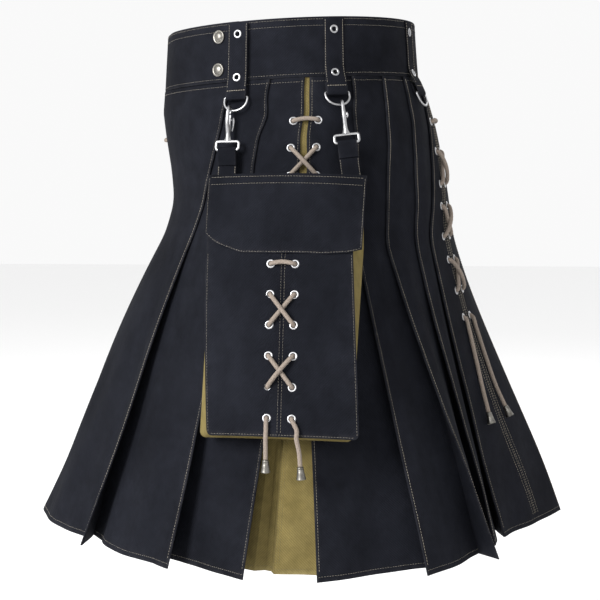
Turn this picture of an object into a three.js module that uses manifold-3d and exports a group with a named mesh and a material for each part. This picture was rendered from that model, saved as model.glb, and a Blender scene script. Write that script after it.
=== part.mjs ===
// Utility kilt as worn: a hollow wrap of heavy twill with knife pleats, a khaki box-pleat insert at
// each hip, laced slits, belt straps with D-rings, and a cargo pocket hung from two snap hooks.
// Millimetres. The origin is the centre of the waistband's top edge, +Z is up, the front faces -Y
// and the wearer's left side faces +X. "Drop" is a distance straight down from the waist.
import * as THREE from "three";
import { mergeVertices } from "three/addons/utils/BufferGeometryUtils.js";
import Module from "manifold-3d";

const wasm = await Module();
wasm.setup();

// Driving dimensions
const CLOTH = 1.2; // thickness of one layer of twill
const GAP = 0.3; // between pieces that are sewn together
const PITCH = CLOTH + GAP; // from one folded layer to the next
const TOP_LAYER = 2 * PITCH; // centre of the outermost layer of a pleat stack
const LENGTH = 582; // waist to hem
const BAND_HEIGHT = 65;
const BAND_CLOTH = 2.4; // the waistband is a doubled, stiffened strip
const BAND_OFFSET = 2.1; // centre of the waistband outside the base ring
const FELL_DROP = 240; // the pleats are stitched down to here
const TILT = 0.053; // the waist rises from front to back
const BILLOW = 0.3; // how far the open pleats bow out at the front and in at the back
const CORD_RADIUS = 2.3;
const CORD_SIDES = 8;
const CORD_CLEAR = 0.9; // between a cord and the cloth it lies on
const EYELET_HOLE_RADIUS = 4.1;
const DRILL_LENGTH = 12; // through every layer of a pleat stack
const DRILL_SINK = 3; // the drill's middle, behind the outer layer
const CROSS_RISE = 1.4; // a crossing stands off the rounded cloth
const BEND = 3; // chamfer of a cord where it turns into an eyelet
const STRAP_WIDTH = 23;
const RING_WIRE_RADIUS = 1.2;
const WAIST_RADIUS = 162; // mean radii, for turning widths into angles
const HIP_RADIUS = 197;

const twill = { color: "#28282e", roughness: 0.9, metalness: 0 };
const khaki = { color: "#958a5c", roughness: 0.9, metalness: 0 };
const cordage = { color: "#8d8273", roughness: 0.85, metalness: 0 };
const nickel = { color: "#c9cacb", roughness: 0.3, metalness: 1 };
const silver = { color: "#77756f", roughness: 0.4, metalness: 1 };

// The ring that the cloth follows down to the fell: reach to the front, the back and either side.
const RING = [
  { drop: 0, front: 143.5, back: 144.5, side: 160 },
  { drop: 65, front: 147.5, back: 149.5, side: 163 },
  { drop: 90, front: 149.5, back: 161, side: 168 },
  { drop: 120, front: 146, back: 170.5, side: 174 },
  { drop: 160, front: 140, back: 179.5, side: 181.5 },
  { drop: 200, front: 137, back: 187, side: 188.5 },
  { drop: 240, front: 148, back: 192, side: 198 },
];

// Levels at which the skirt's walls are worked out.
const LEVELS = [65 + GAP, 90, 120, 200, 240, 290, 370, 470, LENGTH];

// Every pleat fold. It faces the way its edge points (1 is toward greater angles), has polar angles
// at the waist and the hip, the width tucked under it at both, and its edge and the bottom of its
// tuck in plan at the hem. The far side is hidden, so it mirrors the near one as far as it can.
const FOLDS = {
  leftA: { faces: 1, waist: -19, hip: -36, tuck: [20, 26], edge: [188, -218], under: [148, -219] },
  leftB: { faces: 1, waist: -4, hip: -13, tuck: [18, 26], edge: [274, -110], under: [226, -130] },
  leftC: { faces: 1, waist: 9.1, hip: 4.8, tuck: [20, 26], edge: [306, -27], under: [259, -51] },
  leftD: { faces: -1, waist: 11.8, hip: 8.3, tuck: [20, 24], edge: [314, 51], under: [294, 75] },
  leftE: { faces: -1, waist: 29, hip: 24.5, tuck: [20, 20], edge: [281, 163], under: [249, 169] },
  leftF: { faces: -1, waist: 44.8, hip: 34.6, tuck: [14, 20], edge: [214, 239], under: [194, 221] },
  leftG: { faces: -1, waist: 60, hip: 47.8, tuck: [20, 20], edge: [159, 240], under: [141, 223] },
  leftH: { faces: -1, waist: 79, hip: 56.5, tuck: [10, 22], edge: [121, 252], under: [92, 246] },
  rightH: { faces: 1, waist: 98, hip: 91.4, tuck: [12, 22], edge: [-11, 331], under: [-2, 303] },
  rightG: { faces: 1, waist: 120, hip: 106, tuck: [20, 20], edge: [-81, 310], under: [-57, 297] },
  rightF: { faces: 1, waist: 131.4, hip: 121, tuck: [14, 20], edge: [-148, 284], under: [-125, 271] },
  rightE: { faces: 1, waist: 151, hip: 143, tuck: [20, 20], edge: [-233, 214], under: [-206, 207] },
  rightD: { faces: 1, waist: 168.4, hip: 171, tuck: [20, 24], edge: [-308, 62], under: [-288, 86] },
  rightC: { faces: -1, waist: 170.5, hip: 176.5, tuck: [20, 26], edge: [-306, -27], under: [-259, -51] },
  rightB: { faces: -1, waist: 184, hip: 193, tuck: [18, 26], edge: [-274, -110], under: [-226, -130] },
  rightA: { faces: -1, waist: 199, hip: 216, tuck: [20, 26], edge: [-188, -218], under: [-148, -219] },
};

// Seams between two halves: polar angles at the waist and the hip, and the place at the hem.
const SEAMS = {
  back: { waist: 83.5, hip: 70, hem: [48, 292] },
  leftInsert: { waist: 10.5, hip: 6.2, hem: [285, 4] },
  rightInsert: { waist: 169.5, hip: 173.8, hem: [-283, 4] },
};

// The cut pieces of the skirt, from one edge to the other. "Under" starts in the tuck of a fold,
// "edge" ends at a fold with its return, and "seam" butts against the other half.
const PANELS = [
  { name: "front_apron", from: ["edge", "rightA"], to: ["edge", "leftA"], bow: 83, mids: 11 },
  { name: "pleat_left_1", from: ["under", "leftA"], to: ["edge", "leftB"], bow: 9, mids: 2 },
  { name: "pleat_left_2", from: ["under", "leftB"], to: ["edge", "leftC"], bow: 3, mids: 1 },
  { name: "insert_left_front", from: ["under", "leftC"], to: ["seam", "leftInsert"], bow: 0, mids: 1 },
  { name: "insert_left_back", from: ["under", "leftD"], to: ["seam", "leftInsert"], bow: 0, mids: 1 },
  { name: "pleat_left_3", from: ["under", "leftE"], to: ["edge", "leftD"], bow: 0, mids: 2 },
  { name: "pleat_left_4", from: ["under", "leftF"], to: ["edge", "leftE"], bow: 0, mids: 1 },
  { name: "pleat_left_5", from: ["under", "leftG"], to: ["edge", "leftF"], bow: 0, mids: 1 },
  { name: "pleat_left_6", from: ["under", "leftH"], to: ["edge", "leftG"], bow: 0, mids: 1 },
  { name: "back_left", from: ["seam", "back"], to: ["edge", "leftH"], bow: 0, mids: 1 },
  { name: "back_right", from: ["seam", "back"], to: ["edge", "rightH"], bow: 0, mids: 1 },
  { name: "pleat_right_6", from: ["under", "rightH"], to: ["edge", "rightG"], bow: 4, mids: 1 },
  { name: "pleat_right_5", from: ["under", "rightG"], to: ["edge", "rightF"], bow: 4, mids: 1 },
  { name: "pleat_right_4", from: ["under", "rightF"], to: ["edge", "rightE"], bow: 8, mids: 2 },
  { name: "pleat_right_3", from: ["under", "rightE"], to: ["edge", "rightD"], bow: 12, mids: 2 },
  { name: "insert_right_back", from: ["under", "rightD"], to: ["seam", "rightInsert"], bow: 0, mids: 1 },
  { name: "insert_right_front", from: ["under", "rightC"], to: ["seam", "rightInsert"], bow: 0, mids: 1 },
  { name: "pleat_right_2", from: ["under", "rightB"], to: ["edge", "rightC"], bow: 3, mids: 1 },
  { name: "pleat_right_1", from: ["under", "rightA"], to: ["edge", "rightB"], bow: 9, mids: 2 },
];

// Belt straps: polar angle, how far the overlapped waistband lifts the strap, and its D-ring's hang.
const STRAPS = [
  { name: "left_front", degrees: -16.2, lift: BAND_CLOTH + GAP, ringReach: 4 },
  { name: "left_mid", degrees: 21, lift: 0, ringReach: 4 },
  { name: "left_back", degrees: 68, lift: 0, ringReach: 0 },
  { name: "right_back", degrees: 112, lift: 0, ringReach: 0 },
  { name: "right_mid", degrees: 159, lift: 0, ringReach: 0 },
  { name: "right_front", degrees: 199, lift: 0, ringReach: 0 },
];
const STRAP_TOP = 2;
const STRAP_SEWN_DROP = 72; // the folded end reaches up to here behind the strap
const BAR_DROP = 83; // the D-ring's straight bar
const BAR_OFFSET = 7.2; // outside the base ring
const BAR_CLEAR = 0.95; // the strap curves round the wearer and the bar is straight
const RING_HALF_WIDTH = 13.8;
const RING_LEG = 4;
const RING_ARC = 12;

// Cargo pocket: the top centre of its back, its turn and lean against the skirt, and its sizes.
const POCKET = {
  at: [194.3, 10, -177],
  turn: -6,
  lean: 16.1,
  halfWidth: 81,
  height: 277,
  depth: 26,
  bowRadius: 450,
  corner: 6,
};
const FLAP_DROP = 84;
const FLAP_HALF_WIDTH = 83;
const HANGER_WIDTH = 21;
const HANGER_TAIL = 25; // how far a hanger runs down behind the pocket
const HOOK_LENGTH = 44; // from the D-ring to the strap eye's lower bar

const scene = new THREE.Group();
scene.name = "utility_kilt";

const rad = THREE.MathUtils.degToRad;
const lerp = THREE.MathUtils.lerp;

function addMesh(name, geometry, look) {
  const mesh = new THREE.Mesh(geometry, new THREE.MeshStandardMaterial(look));
  mesh.name = name;
  scene.add(mesh);
  return mesh;
}

// Six times the signed volume: negative when the faces point inward.
function signedVolume(position, index) {
  const [a, b, c] = [new THREE.Vector3(), new THREE.Vector3(), new THREE.Vector3()];
  let sum = 0;
  for (let i = 0; i < index.length; i += 3) {
    a.fromBufferAttribute(position, index[i]);
    b.fromBufferAttribute(position, index[i + 1]);
    c.fromBufferAttribute(position, index[i + 2]);
    sum += a.dot(b.cross(c));
  }
  return sum;
}

function closedGeometry(points, index) {
  const geometry = new THREE.BufferGeometry().setFromPoints(points);
  if (signedVolume(geometry.attributes.position, index) < 0) index.reverse();
  geometry.setIndex(index);
  geometry.computeVertexNormals();
  return geometry;
}

// A wall from rows of stations, each with a point on its outer and on its inner face. Where the
// station order doubles back, its quads are cut along the other diagonal, so that folded layers
// stay parallel.
function wallGeometry(rows, forward) {
  const count = rows[0].length;
  const points = [];
  for (const row of rows) for (const station of row) points.push(station.outer, station.inner);
  const id = (row, station, face) => (row * count + station) * 2 + face;
  const index = [];
  const quad = (a, b, c, d, split) => {
    if (split) index.push(a, b, c, a, c, d);
    else index.push(a, b, d, b, c, d);
  };
  const last = count - 1;
  for (let r = 0; r + 1 < rows.length; r++) {
    for (let s = 0; s < last; s++) {
      const split = forward[s];
      quad(id(r, s, 0), id(r, s + 1, 0), id(r + 1, s + 1, 0), id(r + 1, s, 0), split);
      quad(id(r, s + 1, 1), id(r, s, 1), id(r + 1, s, 1), id(r + 1, s + 1, 1), !split);
    }
    quad(id(r, 0, 1), id(r, 0, 0), id(r + 1, 0, 0), id(r + 1, 0, 1), true);
    quad(id(r, last, 0), id(r, last, 1), id(r + 1, last, 1), id(r + 1, last, 0), true);
  }
  const end = rows.length - 1;
  for (let s = 0; s < last; s++) {
    quad(id(0, s, 1), id(0, s + 1, 1), id(0, s + 1, 0), id(0, s, 0), true);
    quad(id(end, s, 0), id(end, s + 1, 0), id(end, s + 1, 1), id(end, s, 1), true);
  }
  return closedGeometry(points, index);
}

// Both faces of a strip that follows a polyline, with mitred corners.
function thicken(line, thickness) {
  return line.map((point, i) => {
    const before = line[Math.max(i - 1, 0)];
    const after = line[Math.min(i + 1, line.length - 1)];
    const arriving = new THREE.Vector2().subVectors(point, before);
    const leaving = new THREE.Vector2().subVectors(after, point);
    if (i === 0) arriving.copy(leaving);
    if (i === line.length - 1) leaving.copy(arriving);
    arriving.normalize();
    leaving.normalize();
    const side = new THREE.Vector2(arriving.y + leaving.y, -arriving.x - leaving.x).normalize();
    const mitre = side.dot(new THREE.Vector2(arriving.y, -arriving.x));
    side.multiplyScalar(thickness / 2 / mitre);
    return { outer: point.clone().add(side), inner: point.clone().sub(side) };
  });
}

function ringSizes(drop) {
  const upper = RING.findLastIndex((row) => row.drop <= drop);
  const [a, b] = [RING[upper], RING[Math.min(upper + 1, RING.length - 1)]];
  const t = a === b ? 0 : (drop - a.drop) / (b.drop - a.drop);
  return {
    front: lerp(a.front, b.front, t),
    back: lerp(a.back, b.back, t),
    side: lerp(a.side, b.side, t),
  };
}

// Where a ray from the axis at a polar angle meets the ring, moved out by an offset.
function onRing(drop, degrees, offset = 0) {
  const { front, back, side } = ringSizes(drop);
  const centre = (back - front) / 2;
  const reach = (back + front) / 2;
  const ray = new THREE.Vector2(Math.cos(rad(degrees)), Math.sin(rad(degrees)));
  const a = (ray.x / side) ** 2 + (ray.y / reach) ** 2;
  const b = (ray.y * centre) / reach ** 2;
  const c = (centre / reach) ** 2 - 1;
  const radius = (b + Math.sqrt(b * b - a * c)) / a;
  return ray.multiplyScalar(radius + offset);
}

function heightAt(drop, y) {
  const fade = THREE.MathUtils.clamp((FELL_DROP - drop) / (FELL_DROP - BAND_HEIGHT), 0, 1);
  return -drop + TILT * y * fade;
}

function lift(plan, drop) {
  return new THREE.Vector3(plan.x, plan.y, heightAt(drop, plan.y));
}

// A skirt station holds polar angles at the waist and the hip, its plan place at the hem, and its
// layer's offset. This one is at a fold's edge, or at the inner end of what the fold tucks under.
function foldStation(fold, tucked, hem, layer) {
  const shift = (i, radius) =>
    tucked ? THREE.MathUtils.radToDeg((-fold.faces * fold.tuck[i]) / radius) : 0;
  return {
    waist: fold.waist + shift(0, WAIST_RADIUS),
    hip: fold.hip + shift(1, HIP_RADIUS),
    hem,
    layer,
  };
}

function place(station, drop) {
  const blend = THREE.MathUtils.clamp((drop - BAND_HEIGHT) / (FELL_DROP - BAND_HEIGHT), 0, 1);
  const degrees = lerp(station.waist, station.hip, blend);
  const plan = onRing(Math.min(drop, FELL_DROP), degrees);
  if (drop > FELL_DROP) {
    const fall = (drop - FELL_DROP) / (LENGTH - FELL_DROP);
    const bow = -BILLOW * Math.sin(rad(station.hip)) * fall * (1 - fall) ** 2;
    plan.lerp(station.hem, fall + bow);
  }
  return plan.setLength(plan.length() + station.layer);
}

function between(a, b, t, bow) {
  const hem = a.hem.clone().lerp(b.hem, t);
  const chord = b.hem.clone().sub(a.hem);
  const outward = new THREE.Vector2(chord.y, -chord.x).normalize();
  if (outward.dot(hem) < 0) outward.negate();
  hem.addScaledVector(outward, bow * 4 * t * (1 - t));
  return {
    waist: lerp(a.waist, b.waist, t),
    hip: lerp(a.hip, b.hip, t),
    hem,
    layer: lerp(a.layer, b.layer, t),
  };
}

// The hem place that an edge is reached from or heads for.
function edgeHem([kind, key]) {
  if (kind === "seam") return new THREE.Vector2(...SEAMS[key].hem);
  return new THREE.Vector2(...(kind === "edge" ? FOLDS[key].edge : FOLDS[key].under));
}

const TUCK_AT_HEM = 0.7; // share of a tuck's width that still lies under the fold at the hem

// The stations of one end of a panel, from its free end inward.
function edgeStations(end, other) {
  const [kind, key] = end;
  const target = edgeHem(other);
  if (kind === "seam") {
    const seam = SEAMS[key];
    const otherFold = FOLDS[other[1]];
    const towards = Math.sign(otherFold.waist - seam.waist);
    const turn = towards * THREE.MathUtils.radToDeg(GAP / 2 / WAIST_RADIUS);
    const hem = edgeHem(end);
    hem.add(target.clone().sub(hem).setLength(GAP / 2));
    const layer = other[0] === "edge" ? TOP_LAYER : 0;
    return [{ waist: seam.waist + turn, hip: seam.hip + turn, hem, layer }];
  }
  const fold = FOLDS[key];
  const edge = new THREE.Vector2(...fold.edge);
  const under = new THREE.Vector2(...fold.under);
  if (kind === "under") {
    const reach = TUCK_AT_HEM * edge.distanceTo(under);
    const beneath = target.clone().sub(under).setLength(reach).add(under);
    return [foldStation(fold, true, under, 0), foldStation(fold, false, beneath, 0)];
  }
  const above = target.clone().sub(edge).setLength(fold.tuck[1]).add(edge);
  return [
    foldStation(fold, true, under, PITCH),
    foldStation(fold, false, edge, PITCH),
    foldStation(fold, false, edge, TOP_LAYER),
    foldStation(fold, true, above, TOP_LAYER),
  ];
}

function panelStations(panel) {
  const start = edgeStations(panel.from, panel.to);
  const finish = edgeStations(panel.to, panel.from).reverse();
  if (finish[0].waist - start.at(-1).waist < -180) {
    for (const station of start) {
      station.waist -= 360;
      station.hip -= 360;
    }
  }
  const mids = [];
  for (let i = 1; i <= panel.mids; i++) {
    mids.push(between(start.at(-1), finish[0], i / (panel.mids + 1), panel.bow));
  }
  return [...start, ...mids, ...finish];
}

const panels = new Map(PANELS.map((panel) => [panel.name, panelStations(panel)]));

function panelGeometry(stations) {
  const rows = LEVELS.map((drop) => {
    const line = stations.map((station) => place(station, drop));
    return thicken(line, CLOTH).map(({ outer, inner }) => ({
      outer: lift(outer, drop),
      inner: lift(inner, drop),
    }));
  });
  const forward = stations.slice(1).map((station, i) => station.waist >= stations[i].waist);
  return wallGeometry(rows, forward);
}

// Booleans

function toSolid(geometry) {
  const bare = new THREE.BufferGeometry();
  bare.setAttribute("position", geometry.attributes.position.clone());
  bare.setIndex(geometry.index);
  const merged = mergeVertices(bare, 1e-4);
  const mesh = new wasm.Mesh({
    numProp: 3,
    vertProperties: merged.attributes.position.array,
    triVerts: new Uint32Array(merged.index.array),
  });
  return new wasm.Manifold(mesh);
}

function toGeometry(solid) {
  const mesh = solid.getMesh();
  const geometry = new THREE.BufferGeometry();
  geometry.setAttribute("position", new THREE.BufferAttribute(new Float32Array(mesh.vertProperties), 3));
  geometry.setIndex(new THREE.BufferAttribute(mesh.triVerts, 1));
  geometry.computeVertexNormals();
  return geometry;
}

function joined(geometries) {
  return toGeometry(geometries.map(toSolid).reduce((sum, next) => sum.add(next)));
}

// Eyelets: a place on the outer layer's centre and the direction out of the cloth.

function drillGeometry(eyelet) {
  const drill = new THREE.CylinderGeometry(EYELET_HOLE_RADIUS, EYELET_HOLE_RADIUS, DRILL_LENGTH, 8);
  const turn = new THREE.Quaternion().setFromUnitVectors(new THREE.Vector3(0, 1, 0), eyelet.normal);
  const centre = eyelet.point.clone().addScaledVector(eyelet.normal, -DRILL_SINK);
  drill.applyQuaternion(turn);
  drill.translate(centre.x, centre.y, centre.z);
  return drill;
}

function drilled(geometry, eyelets) {
  const solid = toSolid(geometry);
  const cut = eyelets.reduce((rest, eyelet) => rest.subtract(toSolid(drillGeometry(eyelet))), solid);
  return toGeometry(cut);
}

// A station's place on the faceted wall, between two of its levels.
function placeOnWall(station, drop) {
  const lower = LEVELS.findIndex((level) => level > drop);
  const [above, below] = [LEVELS[lower - 1], LEVELS[lower]];
  return place(station, above).lerp(place(station, below), (drop - above) / (below - above));
}

// The point a given distance along a panel's plan line, from a station in steps of +1 or -1.
function along(stations, start, step, distance, drop) {
  let from = placeOnWall(stations[start], drop);
  let rest = distance;
  for (let i = start + step; ; i += step) {
    const to = placeOnWall(stations[i], drop);
    const length = from.distanceTo(to);
    if (rest <= length) return from.clone().lerp(to, rest / length);
    rest -= length;
    from = to;
  }
}

function skirtEyelet(column, drop) {
  const at = (d, extra) => along(column.stations, column.start, column.step, column.distance + extra, d);
  const point = lift(at(drop, 0), drop);
  const across = lift(at(drop, 1), drop).sub(lift(at(drop, -1), drop));
  const down = lift(at(drop + 3, 0), drop + 3).sub(lift(at(drop - 3, 0), drop - 3));
  const normal = across.cross(down).normalize();
  if (normal.x * point.x + normal.y * point.y < 0) normal.negate();
  return { point, normal };
}

// Cords

class Route extends THREE.Curve {
  constructor(points, closed = false) {
    super();
    this.points = points;
    this.spans = closed ? points.length : points.length - 1;
  }

  pointAt(i) {
    return this.points[(i + this.points.length) % this.points.length];
  }

  getPointAt(u) {
    return this.pointAt(Math.round(u * this.spans)).clone();
  }

  getTangentAt(u) {
    const i = Math.round(u * this.spans);
    const open = this.spans < this.points.length;
    const before = this.pointAt(open ? Math.max(i - 1, 0) : i - 1);
    const after = this.pointAt(open ? Math.min(i + 1, this.spans) : i + 1);
    return new THREE.Vector3().subVectors(after, before).normalize();
  }
}

function circleShape(radius, sides) {
  const corners = Array.from({ length: sides }, (_, i) => {
    const angle = (2 * Math.PI * (i + 0.5)) / sides;
    return new THREE.Vector2(radius * Math.cos(angle), radius * Math.sin(angle));
  });
  return new THREE.Shape(corners);
}

function tubeGeometry(points, radius, sides) {
  const tube = new THREE.ExtrudeGeometry(circleShape(radius, sides), {
    steps: points.length - 1,
    extrudePath: new Route(points),
    bevelEnabled: false,
  });
  tube.deleteAttribute("normal");
  tube.deleteAttribute("uv");
  const merged = mergeVertices(tube, 1e-4);
  const index = Array.from(merged.index.array);
  if (signedVolume(merged.attributes.position, index) < 0) index.reverse();
  merged.setIndex(index);
  merged.computeVertexNormals();
  return merged;
}

function ringTubeGeometry(points, radius, sides) {
  return new THREE.TubeGeometry(new Route(points, true), points.length, radius, sides, true);
}

// Where a cord lies on the cloth outside an eyelet, and where it runs behind the cloth.
function outside(eyelet, extra = 0) {
  return eyelet.point.clone().addScaledVector(eyelet.normal, CLOTH / 2 + CORD_CLEAR + CORD_RADIUS + extra);
}

function inside(eyelet, depth) {
  return eyelet.point.clone().addScaledVector(eyelet.normal, -(depth + CLOTH / 2 + CORD_CLEAR + CORD_RADIUS));
}

// Replaces the sharp corners of a route by two gentler ones.
function chamfered(corners) {
  const route = [corners[0].point];
  for (let i = 1; i + 1 < corners.length; i++) {
    const { point, smooth } = corners[i];
    if (smooth) {
      route.push(point);
      continue;
    }
    for (const near of [corners[i - 1].point, corners[i + 1].point]) {
      const leg = near.clone().sub(point);
      route.push(point.clone().addScaledVector(leg.normalize(), BEND));
    }
  }
  route.push(corners.at(-1).point);
  return route;
}

// A criss-cross lace. Rows 0 and 1 are the bar and the first cross; the cord runs behind the cloth
// from each row to the next and crosses in front between rows 1-2, 3-4 and so on. Its ends run
// free from the last row, or stop behind the cloth after a last cross.
function laceRoute(left, right, depth, freeLeft, freeRight) {
  const half = (mine, other, over) => {
    const corners = [];
    const push = (point, smooth = false) => corners.push({ point, smooth });
    let [near, far] = [mine, other];
    push(outside(near[0]));
    push(inside(near[0], depth));
    for (let row = 1; row < mine.length; row += 2) {
      push(inside(near[row], depth));
      push(outside(near[row]));
      if (row + 1 === mine.length) break;
      const crossing = outside(near[row]).lerp(outside(far[row + 1]), 0.5);
      const rise = CROSS_RISE + (over ? 2 * CORD_RADIUS + CORD_CLEAR : 0);
      crossing.addScaledVector(near[row].normal, rise);
      push(crossing, true);
      [near, far] = [far, near];
      push(outside(near[row + 1]));
      push(inside(near[row + 1], depth));
    }
    return { corners, endsOn: near === mine };
  };
  const one = half(left, right, true);
  const two = half(right, left, false);
  const tail = (run, own, opposite) =>
    (run.endsOn ? own : opposite).map((point) => ({ point, smooth: true }));
  one.corners.push(...tail(one, freeLeft, freeRight));
  two.corners.push(...tail(two, freeRight, freeLeft));
  const bar = outside(left[0], CROSS_RISE).lerp(outside(right[0], CROSS_RISE), 0.5);
  return chamfered([...one.corners.reverse(), { point: bar, smooth: true }, ...two.corners]);
}

// Fittings

// A lathe profile stood on a place, with its axis along a direction.
function turnedGeometry(profile, sides, origin, axis) {
  const lathe = new THREE.LatheGeometry(profile, sides);
  lathe.applyQuaternion(new THREE.Quaternion().setFromUnitVectors(new THREE.Vector3(0, 1, 0), axis));
  lathe.translate(origin.x, origin.y, origin.z);
  return lathe;
}

// A bell end, hanging from the end of a cord along a direction.
function bellGeometry(end, direction) {
  const profile = [
    [0, 0],
    [2.8, 0],
    [3.1, 3],
    [3.7, 8],
    [5, 12],
    [5, 13],
    [4, 13],
    [2.6, 8],
    [0, 7],
  ].map(([x, y]) => new THREE.Vector2(x, -y));
  const start = end.clone().addScaledVector(direction, GAP);
  return turnedGeometry(profile.reverse(), 10, start, direction.clone().negate());
}

function addLace(name, route) {
  addMesh(name, tubeGeometry(route, CORD_RADIUS, CORD_SIDES), cordage);
}

function addBells(name, route) {
  const ends = [
    [route[0], route[1], "left"],
    [route.at(-1), route.at(-2), "right"],
  ];
  for (const [end, before, side] of ends) {
    const direction = end.clone().sub(before).normalize();
    addMesh(name + "_" + side, bellGeometry(end, direction), silver);
  }
}

// Skirt lacings: the panels and stations that carry the eyelets, and the rows' drops.
const apron = panels.get("front_apron");
const apronMiddle = (apron.length - 1) / 2;
const HIP_DROPS = [112, 141, 171];
const BACK_DROPS = [115, 148, 184, 208, 241, 268, 304, 335];
const FRONT_DROPS = [124];
const LACINGS = [
  {
    name: "lace_left_hip",
    left: { panel: "pleat_left_2", start: panels.get("pleat_left_2").length - 3, step: -1, distance: 9 },
    right: { panel: "pleat_left_3", start: panels.get("pleat_left_3").length - 3, step: -1, distance: 9 },
    through: ["pleat_left_2", "pleat_left_3", "insert_left_front", "insert_left_back"],
    drops: HIP_DROPS,
  },
  {
    name: "lace_back",
    left: { panel: "back_left", start: 0, step: 1, distance: 13 },
    right: { panel: "back_right", start: 0, step: 1, distance: 13 },
    through: ["back_left", "back_right", "pleat_left_6", "pleat_right_6"],
    drops: BACK_DROPS,
  },
  {
    name: "lace_front",
    left: { panel: "front_apron", start: apronMiddle, step: -1, distance: 13 },
    right: { panel: "front_apron", start: apronMiddle, step: 1, distance: 13 },
    through: ["front_apron"],
    drops: FRONT_DROPS,
  },
];
const LAYER_DEPTH = TOP_LAYER; // the laces run behind the innermost layer of the stack

// Free ends lie on the skirt and stand off where the bell is.
const FREE_LIFTS = [0.3, 0.3, 0.8, 3.4];
const FREE_DROPS = [15, 50, 85, 110]; // below the last row of eyelets
const LEFT_DRIFTS = [1, 7, 16, 24]; // the left one swings away from the seam

function freeOnSkirt(column, drops, drifts) {
  return drops.map((drop, i) => {
    const moved = { ...column, distance: column.distance + drifts[i] };
    return outside(skirtEyelet(moved, drop), FREE_LIFTS[i]);
  });
}

// Waistband

const BAND_END = -16.2; // the outer end lies under the left front strap
const BAND_START = -45.2; // the inner end lies behind it

function bandGeometry() {
  const steps = 46;
  const turns = Array.from({ length: steps + 1 }, (_, i) => lerp(BAND_START, BAND_END + 360, i / steps));
  const rows = [0, BAND_HEIGHT].map((drop) => {
    const line = turns.map((degrees) => {
      const outer = THREE.MathUtils.smoothstep(degrees, BAND_START + 335, BAND_START + 352);
      return onRing(drop, degrees, BAND_OFFSET + outer * (BAND_CLOTH + GAP));
    });
    return thicken(line, BAND_CLOTH).map(({ outer, inner }) => ({
      outer: lift(outer, drop),
      inner: lift(inner, drop),
    }));
  });
  return wallGeometry(rows, turns.slice(1).fill(true));
}

// Straps and D-rings

// A frame on the ring: x runs toward greater angles, y out and z up along the cloth.
function frameOnRing(degrees, drop, offset) {
  const origin = lift(onRing(drop, degrees, offset), drop);
  const x = lift(onRing(drop, degrees + 2, offset), drop)
    .sub(lift(onRing(drop, degrees - 2, offset), drop))
    .normalize();
  const z = lift(onRing(drop - 6, degrees, offset), drop - 6)
    .sub(lift(onRing(drop + 6, degrees, offset), drop + 6))
    .normalize();
  const y = x.clone().cross(z).normalize();
  z.copy(y).cross(x).normalize();
  return { origin, x, y, z };
}

function inFrame(frame, x, y, z) {
  return frame.origin
    .clone()
    .addScaledVector(frame.x, x)
    .addScaledVector(frame.y, y)
    .addScaledVector(frame.z, z);
}

// A strap's centre line in (offset, drop): down the front, round the bar and up behind.
function strapLine(strap) {
  const loop = RING_WIRE_RADIUS + BAR_CLEAR + CLOTH / 2;
  const top = BAND_OFFSET + BAND_CLOTH / 2 + 0.5 + CLOTH / 2 + strap.lift;
  const line = [
    new THREE.Vector2(top, STRAP_TOP),
    new THREE.Vector2(top + 0.3, 40),
    new THREE.Vector2(Math.max(top + 1, BAR_OFFSET + loop - 0.8), 68),
  ];
  for (let angle = 0; angle <= 180; angle += 36) {
    const x = BAR_OFFSET + loop * Math.cos(rad(angle));
    line.push(new THREE.Vector2(x, BAR_DROP + loop * Math.sin(rad(angle))));
  }
  line.push(new THREE.Vector2(BAR_OFFSET - loop + 0.2, STRAP_SEWN_DROP));
  return line;
}

function strapGeometry(strap) {
  const section = thicken(strapLine(strap), CLOTH);
  const columns = [-STRAP_WIDTH / 2, 0, STRAP_WIDTH / 2];
  const rows = columns.map((across) =>
    section.map(({ outer, inner }) => {
      const point = ({ x, y }) => {
        const degrees = strap.degrees + THREE.MathUtils.radToDeg(across / (WAIST_RADIUS + 4));
        return lift(onRing(y, degrees, x), y);
      };
      return { outer: point(outer), inner: point(inner) };
    }),
  );
  return wallGeometry(rows, section.slice(1).fill(true));
}

function ringFrame(strap) {
  const frame = frameOnRing(strap.degrees, BAR_DROP, BAR_OFFSET);
  const swing = Math.atan2(strap.ringReach, RING_LEG + RING_ARC);
  const hinge = new THREE.Quaternion().setFromAxisAngle(frame.x, -swing);
  frame.y.applyQuaternion(hinge);
  frame.z.applyQuaternion(hinge);
  return frame;
}

function dropOnArc(across) {
  return -(RING_LEG + RING_ARC * Math.sqrt(1 - (across / RING_HALF_WIDTH) ** 2));
}

function dRingGeometry(strap) {
  const frame = ringFrame(strap);
  const outline = [
    [-RING_HALF_WIDTH, -RING_LEG],
    [-RING_HALF_WIDTH, -0.9],
    [-RING_HALF_WIDTH + 0.9, 0],
    [0, 0],
    [RING_HALF_WIDTH - 0.9, 0],
    [RING_HALF_WIDTH, -0.9],
  ];
  for (let angle = 0; angle < 180; angle += 18) {
    const across = RING_HALF_WIDTH * Math.cos(rad(angle));
    outline.push([across, -RING_LEG - RING_ARC * Math.sin(rad(angle))]);
  }
  const points = outline.map(([x, z]) => inFrame(frame, x, 0, z));
  return ringTubeGeometry(points, RING_WIRE_RADIUS, 6);
}

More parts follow.
